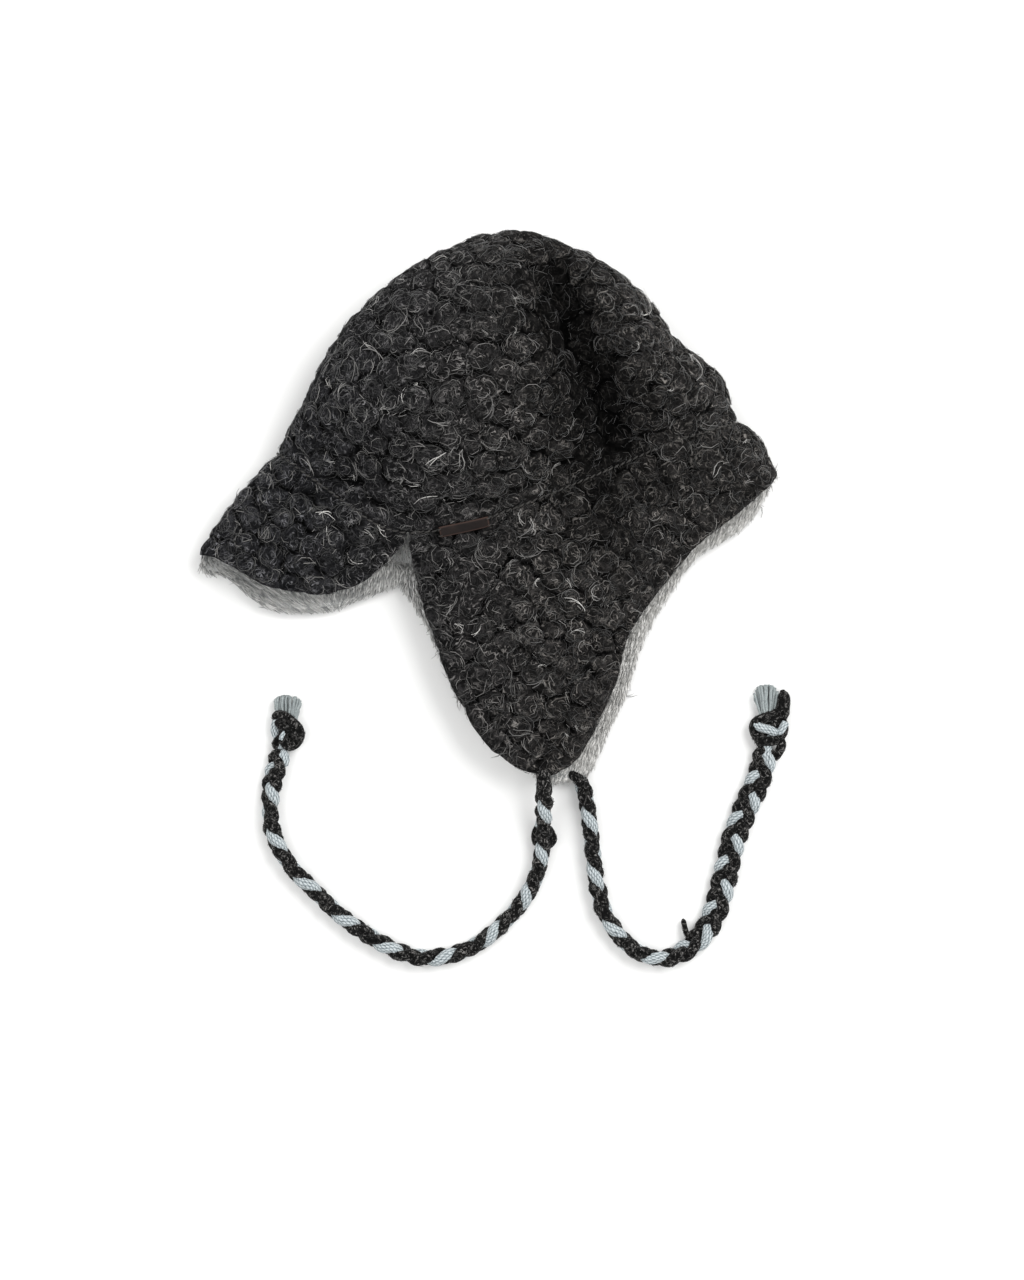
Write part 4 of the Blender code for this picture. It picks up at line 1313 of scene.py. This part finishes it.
def fuzz_shape(rng):
    """A short dark fibre, bent as round a bobble."""
    path = curl_path(rng, rng.uniform(7, 14), rng.uniform(50, 160), rng.uniform(9, 14), rng.uniform(0.2, 0.8), 3)
    return fibre(path, 0.34)


def lock_shape(rng):
    """Two light mohair fibres that curl together and part at their ends."""
    path = curl_path(rng, rng.uniform(11, 27), rng.uniform(50, 190), rng.uniform(10, 16), rng.uniform(0.3, 0.9), 6)
    share = np.linspace(-1, 1, len(path))[:, None]
    fibres = []
    for _ in range(2):
        apart = rng.normal(0, 0.9, 3) * (0.8, 1.0, 0.2)
        fray = rng.normal(0, 2.0, 3) * (1, 1, 0.25)
        fibres.append(fibre(path + apart + fray * share, rng.uniform(0.3, 0.45)))
    return join_shapes(fibres)


def yarn_fuzz_shape(rng):
    """A fibre end that stands off the dark yarn."""
    return fibre(curl_path(rng, rng.uniform(2.5, 4.5), rng.uniform(20, 140), 3, rng.uniform(0.2, 0.7), 3), 0.28)


def surface_points(mesh):
    """Each point's place in millimetres and its normal."""
    count = len(mesh.vertices)
    places = np.empty(count * 3, np.float32)
    normals = np.empty(count * 3, np.float32)
    mesh.vertices.foreach_get("co", places)
    mesh.vertex_normals.foreach_get("vector", normals)
    return places.reshape(-1, 3) / MM, normals.reshape(-1, 3)


def crease_depths(mesh, rounds=6):
    """How deep each point lies in a crease: how far, in millimetres, its surroundings stand above it."""
    places, normals = surface_points(mesh)
    ends = np.empty(len(mesh.edges) * 2, np.int32)
    mesh.edges.foreach_get("vertices", ends)
    ends = ends.reshape(-1, 2)
    neighbours = np.bincount(ends.ravel(), minlength=len(places))[:, None]
    smooth = places.astype(float)
    for _ in range(rounds):
        total = np.zeros_like(smooth)
        np.add.at(total, ends[:, 0], smooth[ends[:, 1]])
        np.add.at(total, ends[:, 1], smooth[ends[:, 0]])
        smooth = total / neighbours
    return ((smooth - places) * normals).sum(axis=1)


def by_label(places, room):
    """Whether each place lies on the label, or no more than room from it, seen from above."""
    turn = math.radians(LABEL_TURN_DEG)
    away = places[:, :2] - LABEL_CENTRE
    lengthwise = np.abs(away @ (math.cos(turn), math.sin(turn)))
    crosswise = np.abs(away @ (-math.sin(turn), math.cos(turn)))
    return (lengthwise < LABEL_LENGTH / 2 + room) & (crosswise < LABEL_WIDTH / 2 + room)


def mohair_cover(places, normals):
    """Thick where the hat is seen from above, thin where it lies on the floor."""
    facing = np.clip(normals[:, 2] * 0.6 + 0.5, 0.02, 1)
    facing[by_label(places, 4) & (normals[:, 2] > 0)] = 0
    for tip in (CROWN_TOP, PEAK_FOLD[-1]):
        facing[np.linalg.norm(places[:, :2] - tip, axis=1) < 9] = 0
    # The mohair is thinner where the wool carries painted shade
    return facing * (1 - 0.55 * np.clip(hollow_depth(places[:, :2], PAINTED_SHADE_SPOTS), 0, 1))


def make_knit(piece, tools, rng):
    """The rows of bobbles and the mohair of one piece."""
    shape, open_skin = wall(
        piece, 0.992, KNIT_UNDER_END, (KNIT_STEP, KNIT_UNDER_STEP), (SKIN_DEPTH, KNIT_THICKNESS),
    )
    skin = new_object("skin", new_mesh("skin", shape, tools["wool"]))
    store(skin.data, "open_skin", open_skin)
    source = points_object(*bobble_points(piece, rng))
    bobbles = run_tree(skin, tools["stitch tree"][0], tools["stitch tree"][1], {
        "Stitches": source, "Material": tools["wool"], "Puff": PUFF * MM, "Wobble": 5.0 * MM,
        "Felting": 0.9 * MM, "Seed": SEED,
    }, f"{piece.name}_bobbles")
    bpy.data.objects.remove(skin)
    bpy.data.objects.remove(source)
    store(bobbles.data, "cover", mohair_cover(*surface_points(bobbles.data)))
    # How deep each point lies in a crease, for the wool's painted crease shade
    store(bobbles.data, "crease", crease_depths(bobbles.data))
    for name, kinds, material, density, sizes, spin in (
        ("mohair", "locks", "mohair", LOCK_DENSITY, (0.65, 1.25), 1.4),
        ("fuzz", "fuzz", "wool fuzz", FUZZ_DENSITY, (0.7, 1.3), 0.9),
    ):
        fibres = run_tree(bobbles, tools["scatter tree"][0], tools["scatter tree"][1], {
            "Kinds": tools[kinds], "Material": tools[material], "Density": float(density), "Spin": spin,
            "Smallest": sizes[0], "Largest": sizes[1], "Seed": SEED,
        }, f"{piece.name}_{name}")
        hand_in(fibres, "wool_knit")
    hand_in(bobbles, "wool_knit", f"{piece.name}_knit")


# The plush lining

def pile_hair(rng):
    """A short combed hair of the pile: it leans along +X and bends flatter towards its fine tip."""
    length = rng.uniform(4.4, 6.2)
    lean = math.radians(rng.uniform(8, 19))
    share = np.array([0, 0.55, 1])
    x = length * share * math.cos(lean)
    z = length * math.sin(lean) * (1 - (1 - share) ** 1.7)
    y = rng.uniform(-0.7, 0.7) * share**2
    return tube(np.column_stack([x, y, z]), np.array([0.38, 0.36, 0.2]), 3)


def pile_cover(piece, places, normals):
    """Dense on the far half's lining near the rims and in the notch, sparse deeper in the hat."""
    rims = [along(sheet.bottom, np.linspace(0, 1, 60)) for sheet in (piece.near, piece.far)]
    near_gap, far_gap = (distance_to_path(places[:, :2], rim) for rim in rims)
    on_far_half = places[:, 2] < 15
    by_rim = (near_gap < PILE_REACH) & (far_gap < PILE_REACH)
    in_notch = np.linalg.norm(places[:, :2] - NOTCH, axis=1) < 26
    by_rim = in_notch if piece.ring else by_rim | in_notch
    cover = np.where(on_far_half, np.where(by_rim, 1.0, 0.03), np.where(near_gap < 9, 0.3, 0.0))
    if piece.ring:
        cover = np.where(by_rim & on_far_half, 1.0, 0.0)
    faces_in = np.where(on_far_half, normals[:, 2] > -0.3, normals[:, 2] < 0.3)
    front_edge = (places[:, 0] < 38) & (places[:, 0] > -45) & (places[:, 1] < -74) & (np.minimum(near_gap, far_gap) < 13)
    cover = np.where(faces_in & ~front_edge, cover, 0)
    sideways = np.interp(places[:, 0], [c.x for c in PLUSH_COMBING], [c.sideways for c in PLUSH_COMBING])
    down = np.where(places[:, 0] < -62, np.clip(far_gap / 6, 0.35, 1), 1)
    return cover, unit(np.column_stack([sideways, -down, np.zeros(len(places))]))


def seam_roll(piece):
    """A soft roll of plush that closes the lining where its pieces are sewn together on the far half."""
    strip = piece.strip(Line("share", 0.004))
    runs = run_lengths(strip.points)
    far = strip.at(np.linspace(runs[STRIP_SAMPLES - 1], runs[-1], 40))
    return tube(far.points - far.normals * ROLL_DEPTH, ROLL_RADIUS, 8)


def make_lining(piece, tools):
    """The plush of one piece: its ground cloth and its pile."""
    shape, _ = wall(piece, LINING_END, 1.0, (LINING_STEP, LINING_STEP), LINING_DEPTHS)
    if not piece.ring:
        shape = join_shapes([shape, seam_roll(piece)])
    backing = new_object(f"{piece.name}_plush", new_mesh(f"{piece.name}_plush", shape, tools["plush ground"]))
    cover, comb = pile_cover(piece, *surface_points(backing.data))
    store(backing.data, "cover", cover)
    store(backing.data, "comb", comb)
    pile = run_tree(backing, tools["scatter tree"][0], tools["scatter tree"][1], {
        "Kinds": tools["pile"], "Material": tools["plush pile"], "Density": PILE_DENSITY, "Tufts": 0.7, "Spin": 0.25,
        "Smallest": 0.8, "Largest": 1.15, "Seed": SEED,
    }, f"{piece.name}_pile")
    hand_in(backing, "plush", f"{piece.name}_lining")
    hand_in(pile, "plush")


# Seams and label

def make_seam(tools):
    """The sewing thread along the seam between the crown and the pieces below it, as twisted stitches."""
    shapes = []
    for piece in (PEAK, EAR_FLAPS):
        strip = piece.strip(Line("share", 0.004))
        total = run_lengths(strip.points)[-1]
        count = round(total / SEAM_STITCH)
        for number in range(count):
            ends = strip.at(np.array([number + 0.06, number + 0.5, number + 0.94]) * total / count)
            rise = np.array([[0.2], [1.0], [0.2]])
            sideways = np.cross(ends.normals, ends.directions) * np.array([[-0.5], [0], [0.5]])
            path = smooth_path(ends.points + ends.normals * (rise + SEAM_RISE) + sideways, 3)
            path[:, 2] = np.maximum(path[:, 2], 0.9)
            shapes.append(tube(path, [0.3, 0.5, 0.58, 0.6, 0.58, 0.5, 0.3], 5))
    seam = new_object("seam_thread", new_mesh("seam_thread", join_shapes(shapes), tools["seam thread"]))
    hand_in(seam, "wool_knit")


def label_place():
    """The label's middle and its three directions, square to the knit under it."""
    turn = math.radians(LABEL_TURN_DEG)
    lengthwise = LABEL_LENGTH / 2 * np.array([math.cos(turn), math.sin(turn)])
    crosswise = LABEL_WIDTH / 2 * np.array([-math.sin(turn), math.cos(turn)])
    steps = np.linspace(-1, 1, 7)
    under = np.array([LABEL_CENTRE + a * lengthwise + b * crosswise for a in steps for b in steps])
    knit = lay_out(under, near=True)
    middle = knit.mean(axis=0)
    slope = np.linalg.lstsq(np.column_stack([under, np.ones(len(under))]), knit[:, 2], rcond=None)[0]
    normal = unit(np.array([-slope[0], -slope[1], 1]))
    highest = ((knit - middle) @ normal).max()
    ahead = unit(np.array([*lengthwise, 0]) - normal * (np.array([*lengthwise, 0]) @ normal))
    return middle + normal * (highest + LABEL_GAP + LABEL_THICKNESS / 2), ahead, np.cross(normal, ahead), normal


def make_label(tools):
    """A bare leather strip with a slight wave, rounded edges and a stitch at each end."""
    centre, ahead, across, normal = label_place()
    columns = 24
    section = [(-1, 0.0), (-0.97, 0.75), (-0.88, 1.0), (-0.4, 1.0), (0.4, 1.0), (0.88, 1.0), (0.97, 0.75), (1, 0.0),
               (0.97, -0.8), (0, -1.0), (-0.97, -0.8)]
    points = []
    uvs = []
    faces = []
    for i in range(columns + 1):
        share = 2 * i / columns - 1
        end = min(1.0, (1 - abs(share)) * LABEL_LENGTH / 2 / 0.5 + 0.55)
        wave = 0.35 * math.sin(3.2 * share + 0.6) - 0.5 * share**2
        for side, height in section:
            widthwise = side * LABEL_WIDTH / 2 * (0.96 + 0.04 * end)
            thick = height * LABEL_THICKNESS / 2 * end + wave + 0.25 * side * math.sin(2.1 * share)
            points.append(centre + ahead * share * LABEL_LENGTH / 2 + across * widthwise + normal * thick)
    size = len(section)
    for i in range(columns):
        for j in range(size):
            n = (j + 1) % size
            faces.append([i * size + j, i * size + n, (i + 1) * size + n, (i + 1) * size + j])
            for row, column in ((i, j), (i, n), (i + 1, n), (i + 1, j)):
                inside = (1 - abs(section[column][0])) * LABEL_WIDTH / 2
                from_end = (1 - abs(2 * row / columns - 1)) * LABEL_LENGTH / 2
                uvs.append((min(inside, from_end), row))
    faces += [list(range(size))[::-1], [columns * size + j for j in range(size)]]
    uvs += [(0, 0)] * (2 * size)
    shape = Shape(np.array(points), faces, np.array(uvs, float))
    label = new_object("leather_label", new_mesh("leather_label", shape, tools["leather"]))
    hand_in(label, "leather", "label")
    stitches = []
    for end in (-1, 1):
        for side in (-0.32, 0.32):
            base = centre + ahead * end * (LABEL_LENGTH / 2 - 1.2) + across * side * LABEL_WIDTH + normal * -0.1
            arch = [(0, -0.2), (0.25, 0.9), (0.5, 1.15), (0.75, 0.9), (1, -0.2)]
            path = [base + ahead * end * (2.8 * u) * 0.9 + normal * (h + 0.3 - 0.5 * u) for u, h in arch]
            stitches.append(tube(np.array(path), 0.34, 6))
    thread = new_object("label_stitches", new_mesh("label_stitches", join_shapes(stitches), tools["seam thread"]))
    hand_in(thread, "leather")


# The ties

class Yarn(NamedTuple):
    """A length of yarn in a knot: whether it is the light cotton, its radius and its way."""

    light: bool
    radius: float
    way: tuple


class Brush(NamedTuple):
    """The cut threads past a knot: where they start and end, and their spread there."""

    start: Place
    end: Place
    start_width: float
    end_width: float
    count: int


LEFT_KNOT = (
    Yarn(True, 3.0, ((-136.2, -160.6, 5), (-138.7, -152.6, 4.6), (-141.2, -145.1, 5), (-140.2, -139.2, 5.4), (-135.7, -135.1, 6))),
    Yarn(False, 3.2, (
        (-142.1, -138.8, 5), (-139.6, -135, 7.5), (-134.2, -136.2, 9.5), (-129.6, -139.2, 10), (-125.8, -143.6, 9.5),
        (-124.5, -149.1, 9), (-126.9, -154.1, 8), (-131.6, -156.1, 8), (-135.3, -153, 8.5), (-135.9, -148.5, 9.4),
        (-133.2, -144.6, 9.8), (-128.9, -146, 8.4), (-129.6, -150, 6.4),
    )),
    Yarn(False, 3.0, ((-141.7, -157.6, 5), (-139.7, -152.1, 6.2), (-136.2, -148, 5.6), (-130.7, -142.2, 5.2), (-127.2, -138.6, 4.6))),
    Yarn(False, 3.2, ((-133.2, -158.6, 5), (-130.2, -152.6, 4.2), (-130.2, -144.6, 4), (-133.2, -137.6, 4.4))),
    Yarn(True, 1.5, ((-137.1, -151.2, 11.2), (-136.2, -148.8, 12), (-135, -146, 11.4))),
    Yarn(False, 3.0, ((-141.4, -140.5, 5.5), (-138.4, -140.8, 8.0), (-134.4, -143.8, 9.4), (-130.6, -147.6, 9.4))),
)
RIGHT_KNOT = (
    Yarn(False, 3.8, (
        (180.5, -157, 5), (180.4, -152, 5.5), (177.4, -147, 6.5), (176.8, -142.4, 7.6), (180, -138.4, 8), (185.4, -136.6, 8),
        (191, -134.5, 7.6), (194, -131, 6.4),
    )),
    Yarn(False, 4.4, ((195.2, -118.6, 4.8), (196.2, -124.5, 5.6), (195.6, -131.5, 6.4), (196.2, -139, 6.8))),
    Yarn(False, 3.2, (
        (196.4, -138, 6.8), (195.8, -146, 7.6), (191.5, -151.2, 8.6), (185.5, -152.6, 9), (180, -152.2, 8), (177, -149.8, 6),
    )),
    Yarn(False, 3.2, ((190.5, -150.6, 8.6), (194.4, -154.4, 8), (192.4, -160.4, 6.5), (188.4, -165, 5.6))),
    Yarn(True, 2.9, ((176.8, -141.6, 8.8), (181.4, -143.6, 10.8), (186.6, -145.2, 10.8), (190.6, -147, 8.6))),
    Yarn(True, 2.5, ((192.6, -147.6, 8.8), (195.0, -144, 10.4), (197.0, -140.2, 9.0))),
    Yarn(True, 3.2, ((184, -166, 6.6), (185, -159.4, 7), (185.4, -153, 6.4), (186, -146, 5.6))),
    Yarn(False, 4.4, ((181, -153, 4.6), (185, -147, 5.2), (190, -141, 5.4), (192, -135, 4.8))),
)
LEFT_BRUSH = Brush(start=Place(-134.0, -140), end=Place(-132.6, -122), start_width=13.5, end_width=18.0, count=48)
RIGHT_BRUSH = Brush(start=Place(185.0, -138), end=Place(184.2, -115), start_width=8.0, end_width=16.5, count=44)


def plait_path(route, lead, roll, light_tops):
    """The way of one strand through a three-strand plait along the route, a share of a turn ahead of
    the light strand, which is on top at the given distances."""
    line = smooth_path(route)
    total = run_lengths(line)[-1]
    centre = along(line, np.linspace(0, 1, round(total / PLAIT_STEP) + 1))
    runs = np.linspace(0, total, len(centre))
    _, side, up = square_frame(centre)
    tops = np.array(light_tops)
    tops = np.concatenate([[2 * tops[0] - tops[1]], tops, [2 * tops[-1] - tops[-2]]])
    phase = 2 * math.pi * (np.interp(runs, tops, np.arange(len(tops))) + lead - 0.25)
    shares = [stop.share for stop in roll]
    across = np.interp(runs / total, shares, [stop.spread for stop in roll]) * np.sin(phase)
    rise = PLAIT_RISE * np.sin(2 * phase)
    angle = np.radians(np.interp(runs / total, shares, [stop.degrees for stop in roll]))
    sideways = across * np.cos(angle) - rise * np.sin(angle)
    upwards = across * np.sin(angle) + rise * np.cos(angle)
    taper = np.clip(np.minimum(runs, total - runs) / 8, 0.35, 1)
    path = centre + side * (sideways * taper)[:, None] + up * (upwards * taper)[:, None]
    path[:, 2] = np.maximum(path[:, 2], STRAND_RADIUS * 0.92)
    return path, runs


def rounded(radius, runs):
    """A yarn's radius along it, less at its rounded ends."""
    return radius * np.sqrt(np.clip(np.minimum(runs, runs[-1] - runs) / radius, 0.12, 1))


def lumpy(radius, runs, rng, amount):
    """A radius that shrinks and swells unevenly along a yarn, with rounded ends."""
    knots = np.arange(0, runs[-1] + 6, 4.5)
    swells = np.minimum(rng.normal(0, amount, len(knots)), MOST_SWELL)
    return rounded(radius, runs) * (1 + np.interp(runs, knots, swells))


def brush_threads(brush, rng):
    """Cut cotton threads that spread from a knot and lie on the surface."""
    start = np.array(brush.start)
    end = np.array(brush.end)
    ahead = unit(end - start)
    side = np.array([ahead[1], -ahead[0]])
    shapes = []
    for _ in range(brush.count):
        place = rng.uniform(-1, 1)
        layer = rng.uniform(-1, 1) * math.sqrt(1 - place**2)
        reach = rng.uniform(0.95, 1.0) * (1 - 0.3 * place**4)
        share = np.linspace(0, 1, 6)
        widths = (brush.start_width + (brush.end_width - brush.start_width) * share**1.2) / 2 * place
        bend = rng.normal(0, 0.5, 6) * share
        flat = start + ahead * (share * reach * np.linalg.norm(end - start))[:, None] + side * (widths + bend)[:, None]
        height = 5.6 + 3.6 * layer * (1 - 0.25 * share) - 1.2 * share
        path = smooth_path(np.column_stack([flat, np.maximum(height, 0.9)]), 2)
        shapes.append(tube(path, 0.85, 5))
    return shapes


def make_tie(name, route, roll, light_tops, knot, brush, extra_wool, tools, rng):
    """A plait of two dark wool strands and a light cotton one, its knot and its brush of threads."""
    wool = []
    for lead in (1 / 3, 2 / 3):
        path, runs = plait_path(route, lead, roll, light_tops)
        wool.append(tube(path, lumpy(STRAND_RADIUS, runs, rng, 0.1), 12))
    plait = new_object(f"{name}_plait", new_mesh(f"{name}_plait", rested(wool), tools["dark yarn"]))
    path, runs = plait_path(route, 0, roll, light_tops)
    light = [tube(path, rounded(COTTON_RADIUS, runs), 20, lobes=5, lobe_depth=0.07, twist=1 / 60)]
    cotton = new_object(f"{name}_cotton", new_mesh(f"{name}_cotton", rested(light), tools["grey cotton"]))
    knot_wool = []
    knot_cotton = []
    for yarn in knot:
        line = smooth_path(yarn.way, 6)
        if yarn.light:
            knot_cotton.append(tube(line, yarn.radius, 20, lobes=5, lobe_depth=0.07, twist=1 / 60))
        else:
            knot_wool.append(tube(line, lumpy(yarn.radius, run_lengths(line), rng, 0.07), 12))
    knot_piece = new_object(f"{name}_knot_wool", new_mesh(f"{name}_knot_wool", rested(knot_wool), tools["dark yarn"]))
    loop_piece = new_object(f"{name}_knot_cotton", new_mesh(f"{name}_knot_cotton", rested(knot_cotton), tools["grey cotton"]))
    threads = new_object(f"{name}_threads", new_mesh(f"{name}_threads", rested(brush_threads(brush, rng)), tools["cotton thread"]))
    lines = [(smooth_path(path, 6), radius) for path, radius in extra_wool]
    stray = [tube(line, lumpy(radius, run_lengths(line), rng, 0.08), 10) for line, radius in lines]
    stray_piece = new_object(f"{name}_stray_wool", new_mesh(f"{name}_stray_wool", rested(stray), tools["dark yarn"]))
    hairs = []
    for source in (plait, knot_piece, stray_piece):
        store(source.data, "cover", np.ones(len(source.data.vertices)))
        store(source.data, "comb", np.tile([1.0, 0.2, 0.0], (len(source.data.vertices), 1)))
        hairs.append(run_tree(source, tools["scatter tree"][0], tools["scatter tree"][1], {
            "Kinds": tools["short fuzz"], "Material": tools["yarn fuzz"], "Density": 70000.0, "Spin": math.pi,
            "Smallest": 0.6, "Largest": 1.1, "Seed": SEED,
        }, f"{source.name}_fuzz"))
    hand_in(plait, "plaited_wool", f"{name}")
    hand_in(cotton, "grey_cotton")
    hand_in(knot_piece, "plaited_wool", f"{name}_knot")
    hand_in(loop_piece, "grey_cotton")
    hand_in(stray_piece, "plaited_wool")
    hand_in(threads, "grey_cotton", f"{name}_tassel")
    for piece in hairs:
        hand_in(piece, "plaited_wool")


# Colours and tools

def make_tools(rng):
    """The materials, the kinds of fibres and hairs, and the two trees."""
    tools = {
        "wool": felted_wool(),
        "mohair": toned_fibre("mohair halo", (0.0, "#1d1d1d"), (0.5, "#434342"), (0.84, "#8b8987"), (1.0, "#dcdad6")),
        "wool fuzz": toned_fibre("charcoal wool fuzz", (0.0, "#040404"), (0.5, "#141414"), (0.82, "#474746"), (1.0, "#918f8c")),
        "plush ground": plush_backing(),
        "plush pile": combed_plush(),
        "dark yarn": flecked_yarn(),
        "yarn fuzz": toned_fibre("yarn fuzz", (0.0, "#0a0a0a"), (0.7, "#222222"), (1.0, "#5c5c5a")),
        "grey cotton": braided_cotton(),
        "cotton thread": spun_yarn("cut cotton thread", "#6c7475", "#a9b0b0", 0.9, 0.8, 0.2, roughness=0.85, sheen=0.2, specular=0.2),
        "seam thread": spun_yarn("waxed seam thread", "#121212", "#4c4a47", 0.7, 0.9, 0.2, roughness=0.6, specular=0.35),
        "leather": brown_leather(),
    }
    tools["locks"] = kinds_collection("lock", [lock_shape(rng) for _ in range(FIBRE_KINDS)], tools["mohair"])
    tools["fuzz"] = kinds_collection("fuzz", [fuzz_shape(rng) for _ in range(FIBRE_KINDS)], tools["wool fuzz"])
    tools["short fuzz"] = kinds_collection("short fuzz", [yarn_fuzz_shape(rng) for _ in range(FIBRE_KINDS)], tools["yarn fuzz"])
    tools["pile"] = kinds_collection("pile", [pile_hair(rng) for _ in range(FIBRE_KINDS)], tools["plush pile"])
    tools["stitch tree"] = stitch_tree()
    tools["scatter tree"] = scatter_tree(FIBRE_KINDS)
    return tools


def make_floor():
    mesh = bpy.data.meshes.new("floor")
    corners = [(-4, -4, 0), (4, -4, 0), (4, 4, 0), (-4, 4, 0)]
    mesh.from_pydata(corners, [], [(0, 1, 2, 3)])
    mesh.materials.append(pale_floor())
    floor = new_object("floor", mesh)
    floor.location.z = -0.0002


LEFT_STRAY_WOOL = (
    (((34.5, -208, 7.0), (31.5, -213, 8.0), (32.0, -219.5, 7.6), (38, -222.5, 8.4), (43, -218, 7.6), (41, -211.5, 7.6), (36, -209.5, 9.6)), 2.6),
    (((36, -168, 21.5), (36.6, -176, 21.6), (37.0, -184, 20.8), (37.2, -191, 18.6)), 5.4),
)
RIGHT_STRAY_WOOL = (
    (((139.5, -284.5, 6.4), (135.5, -283.0, 6.8), (132.0, -280.5, 5.6), (130.4, -275.5, 4.2), (129.4, -270.5, 3.4)), 1.9),
    (((52.6, -172.5, 6.0), (56.6, -175.2, 7.2), (61.0, -178.4, 8.0), (64.6, -183.4, 8.0), (66.0, -189.6, 6.6)), 3.6),
)


def make_hat():
    rng = np.random.default_rng(SEED)
    tools = make_tools(rng)
    make_tie("left_tie", LEFT_TIE, LEFT_ROLL, LEFT_LIGHT, LEFT_KNOT, LEFT_BRUSH, LEFT_STRAY_WOOL, tools, rng)
    make_tie("right_tie", RIGHT_TIE, RIGHT_ROLL, RIGHT_LIGHT, RIGHT_KNOT, RIGHT_BRUSH, RIGHT_STRAY_WOOL, tools, rng)
    for piece in PIECES:
        make_knit(piece, tools, rng)
        make_lining(piece, tools)
    make_seam(tools)
    make_label(tools)
    make_floor()


set_camera()
light_studio()
make_hat()
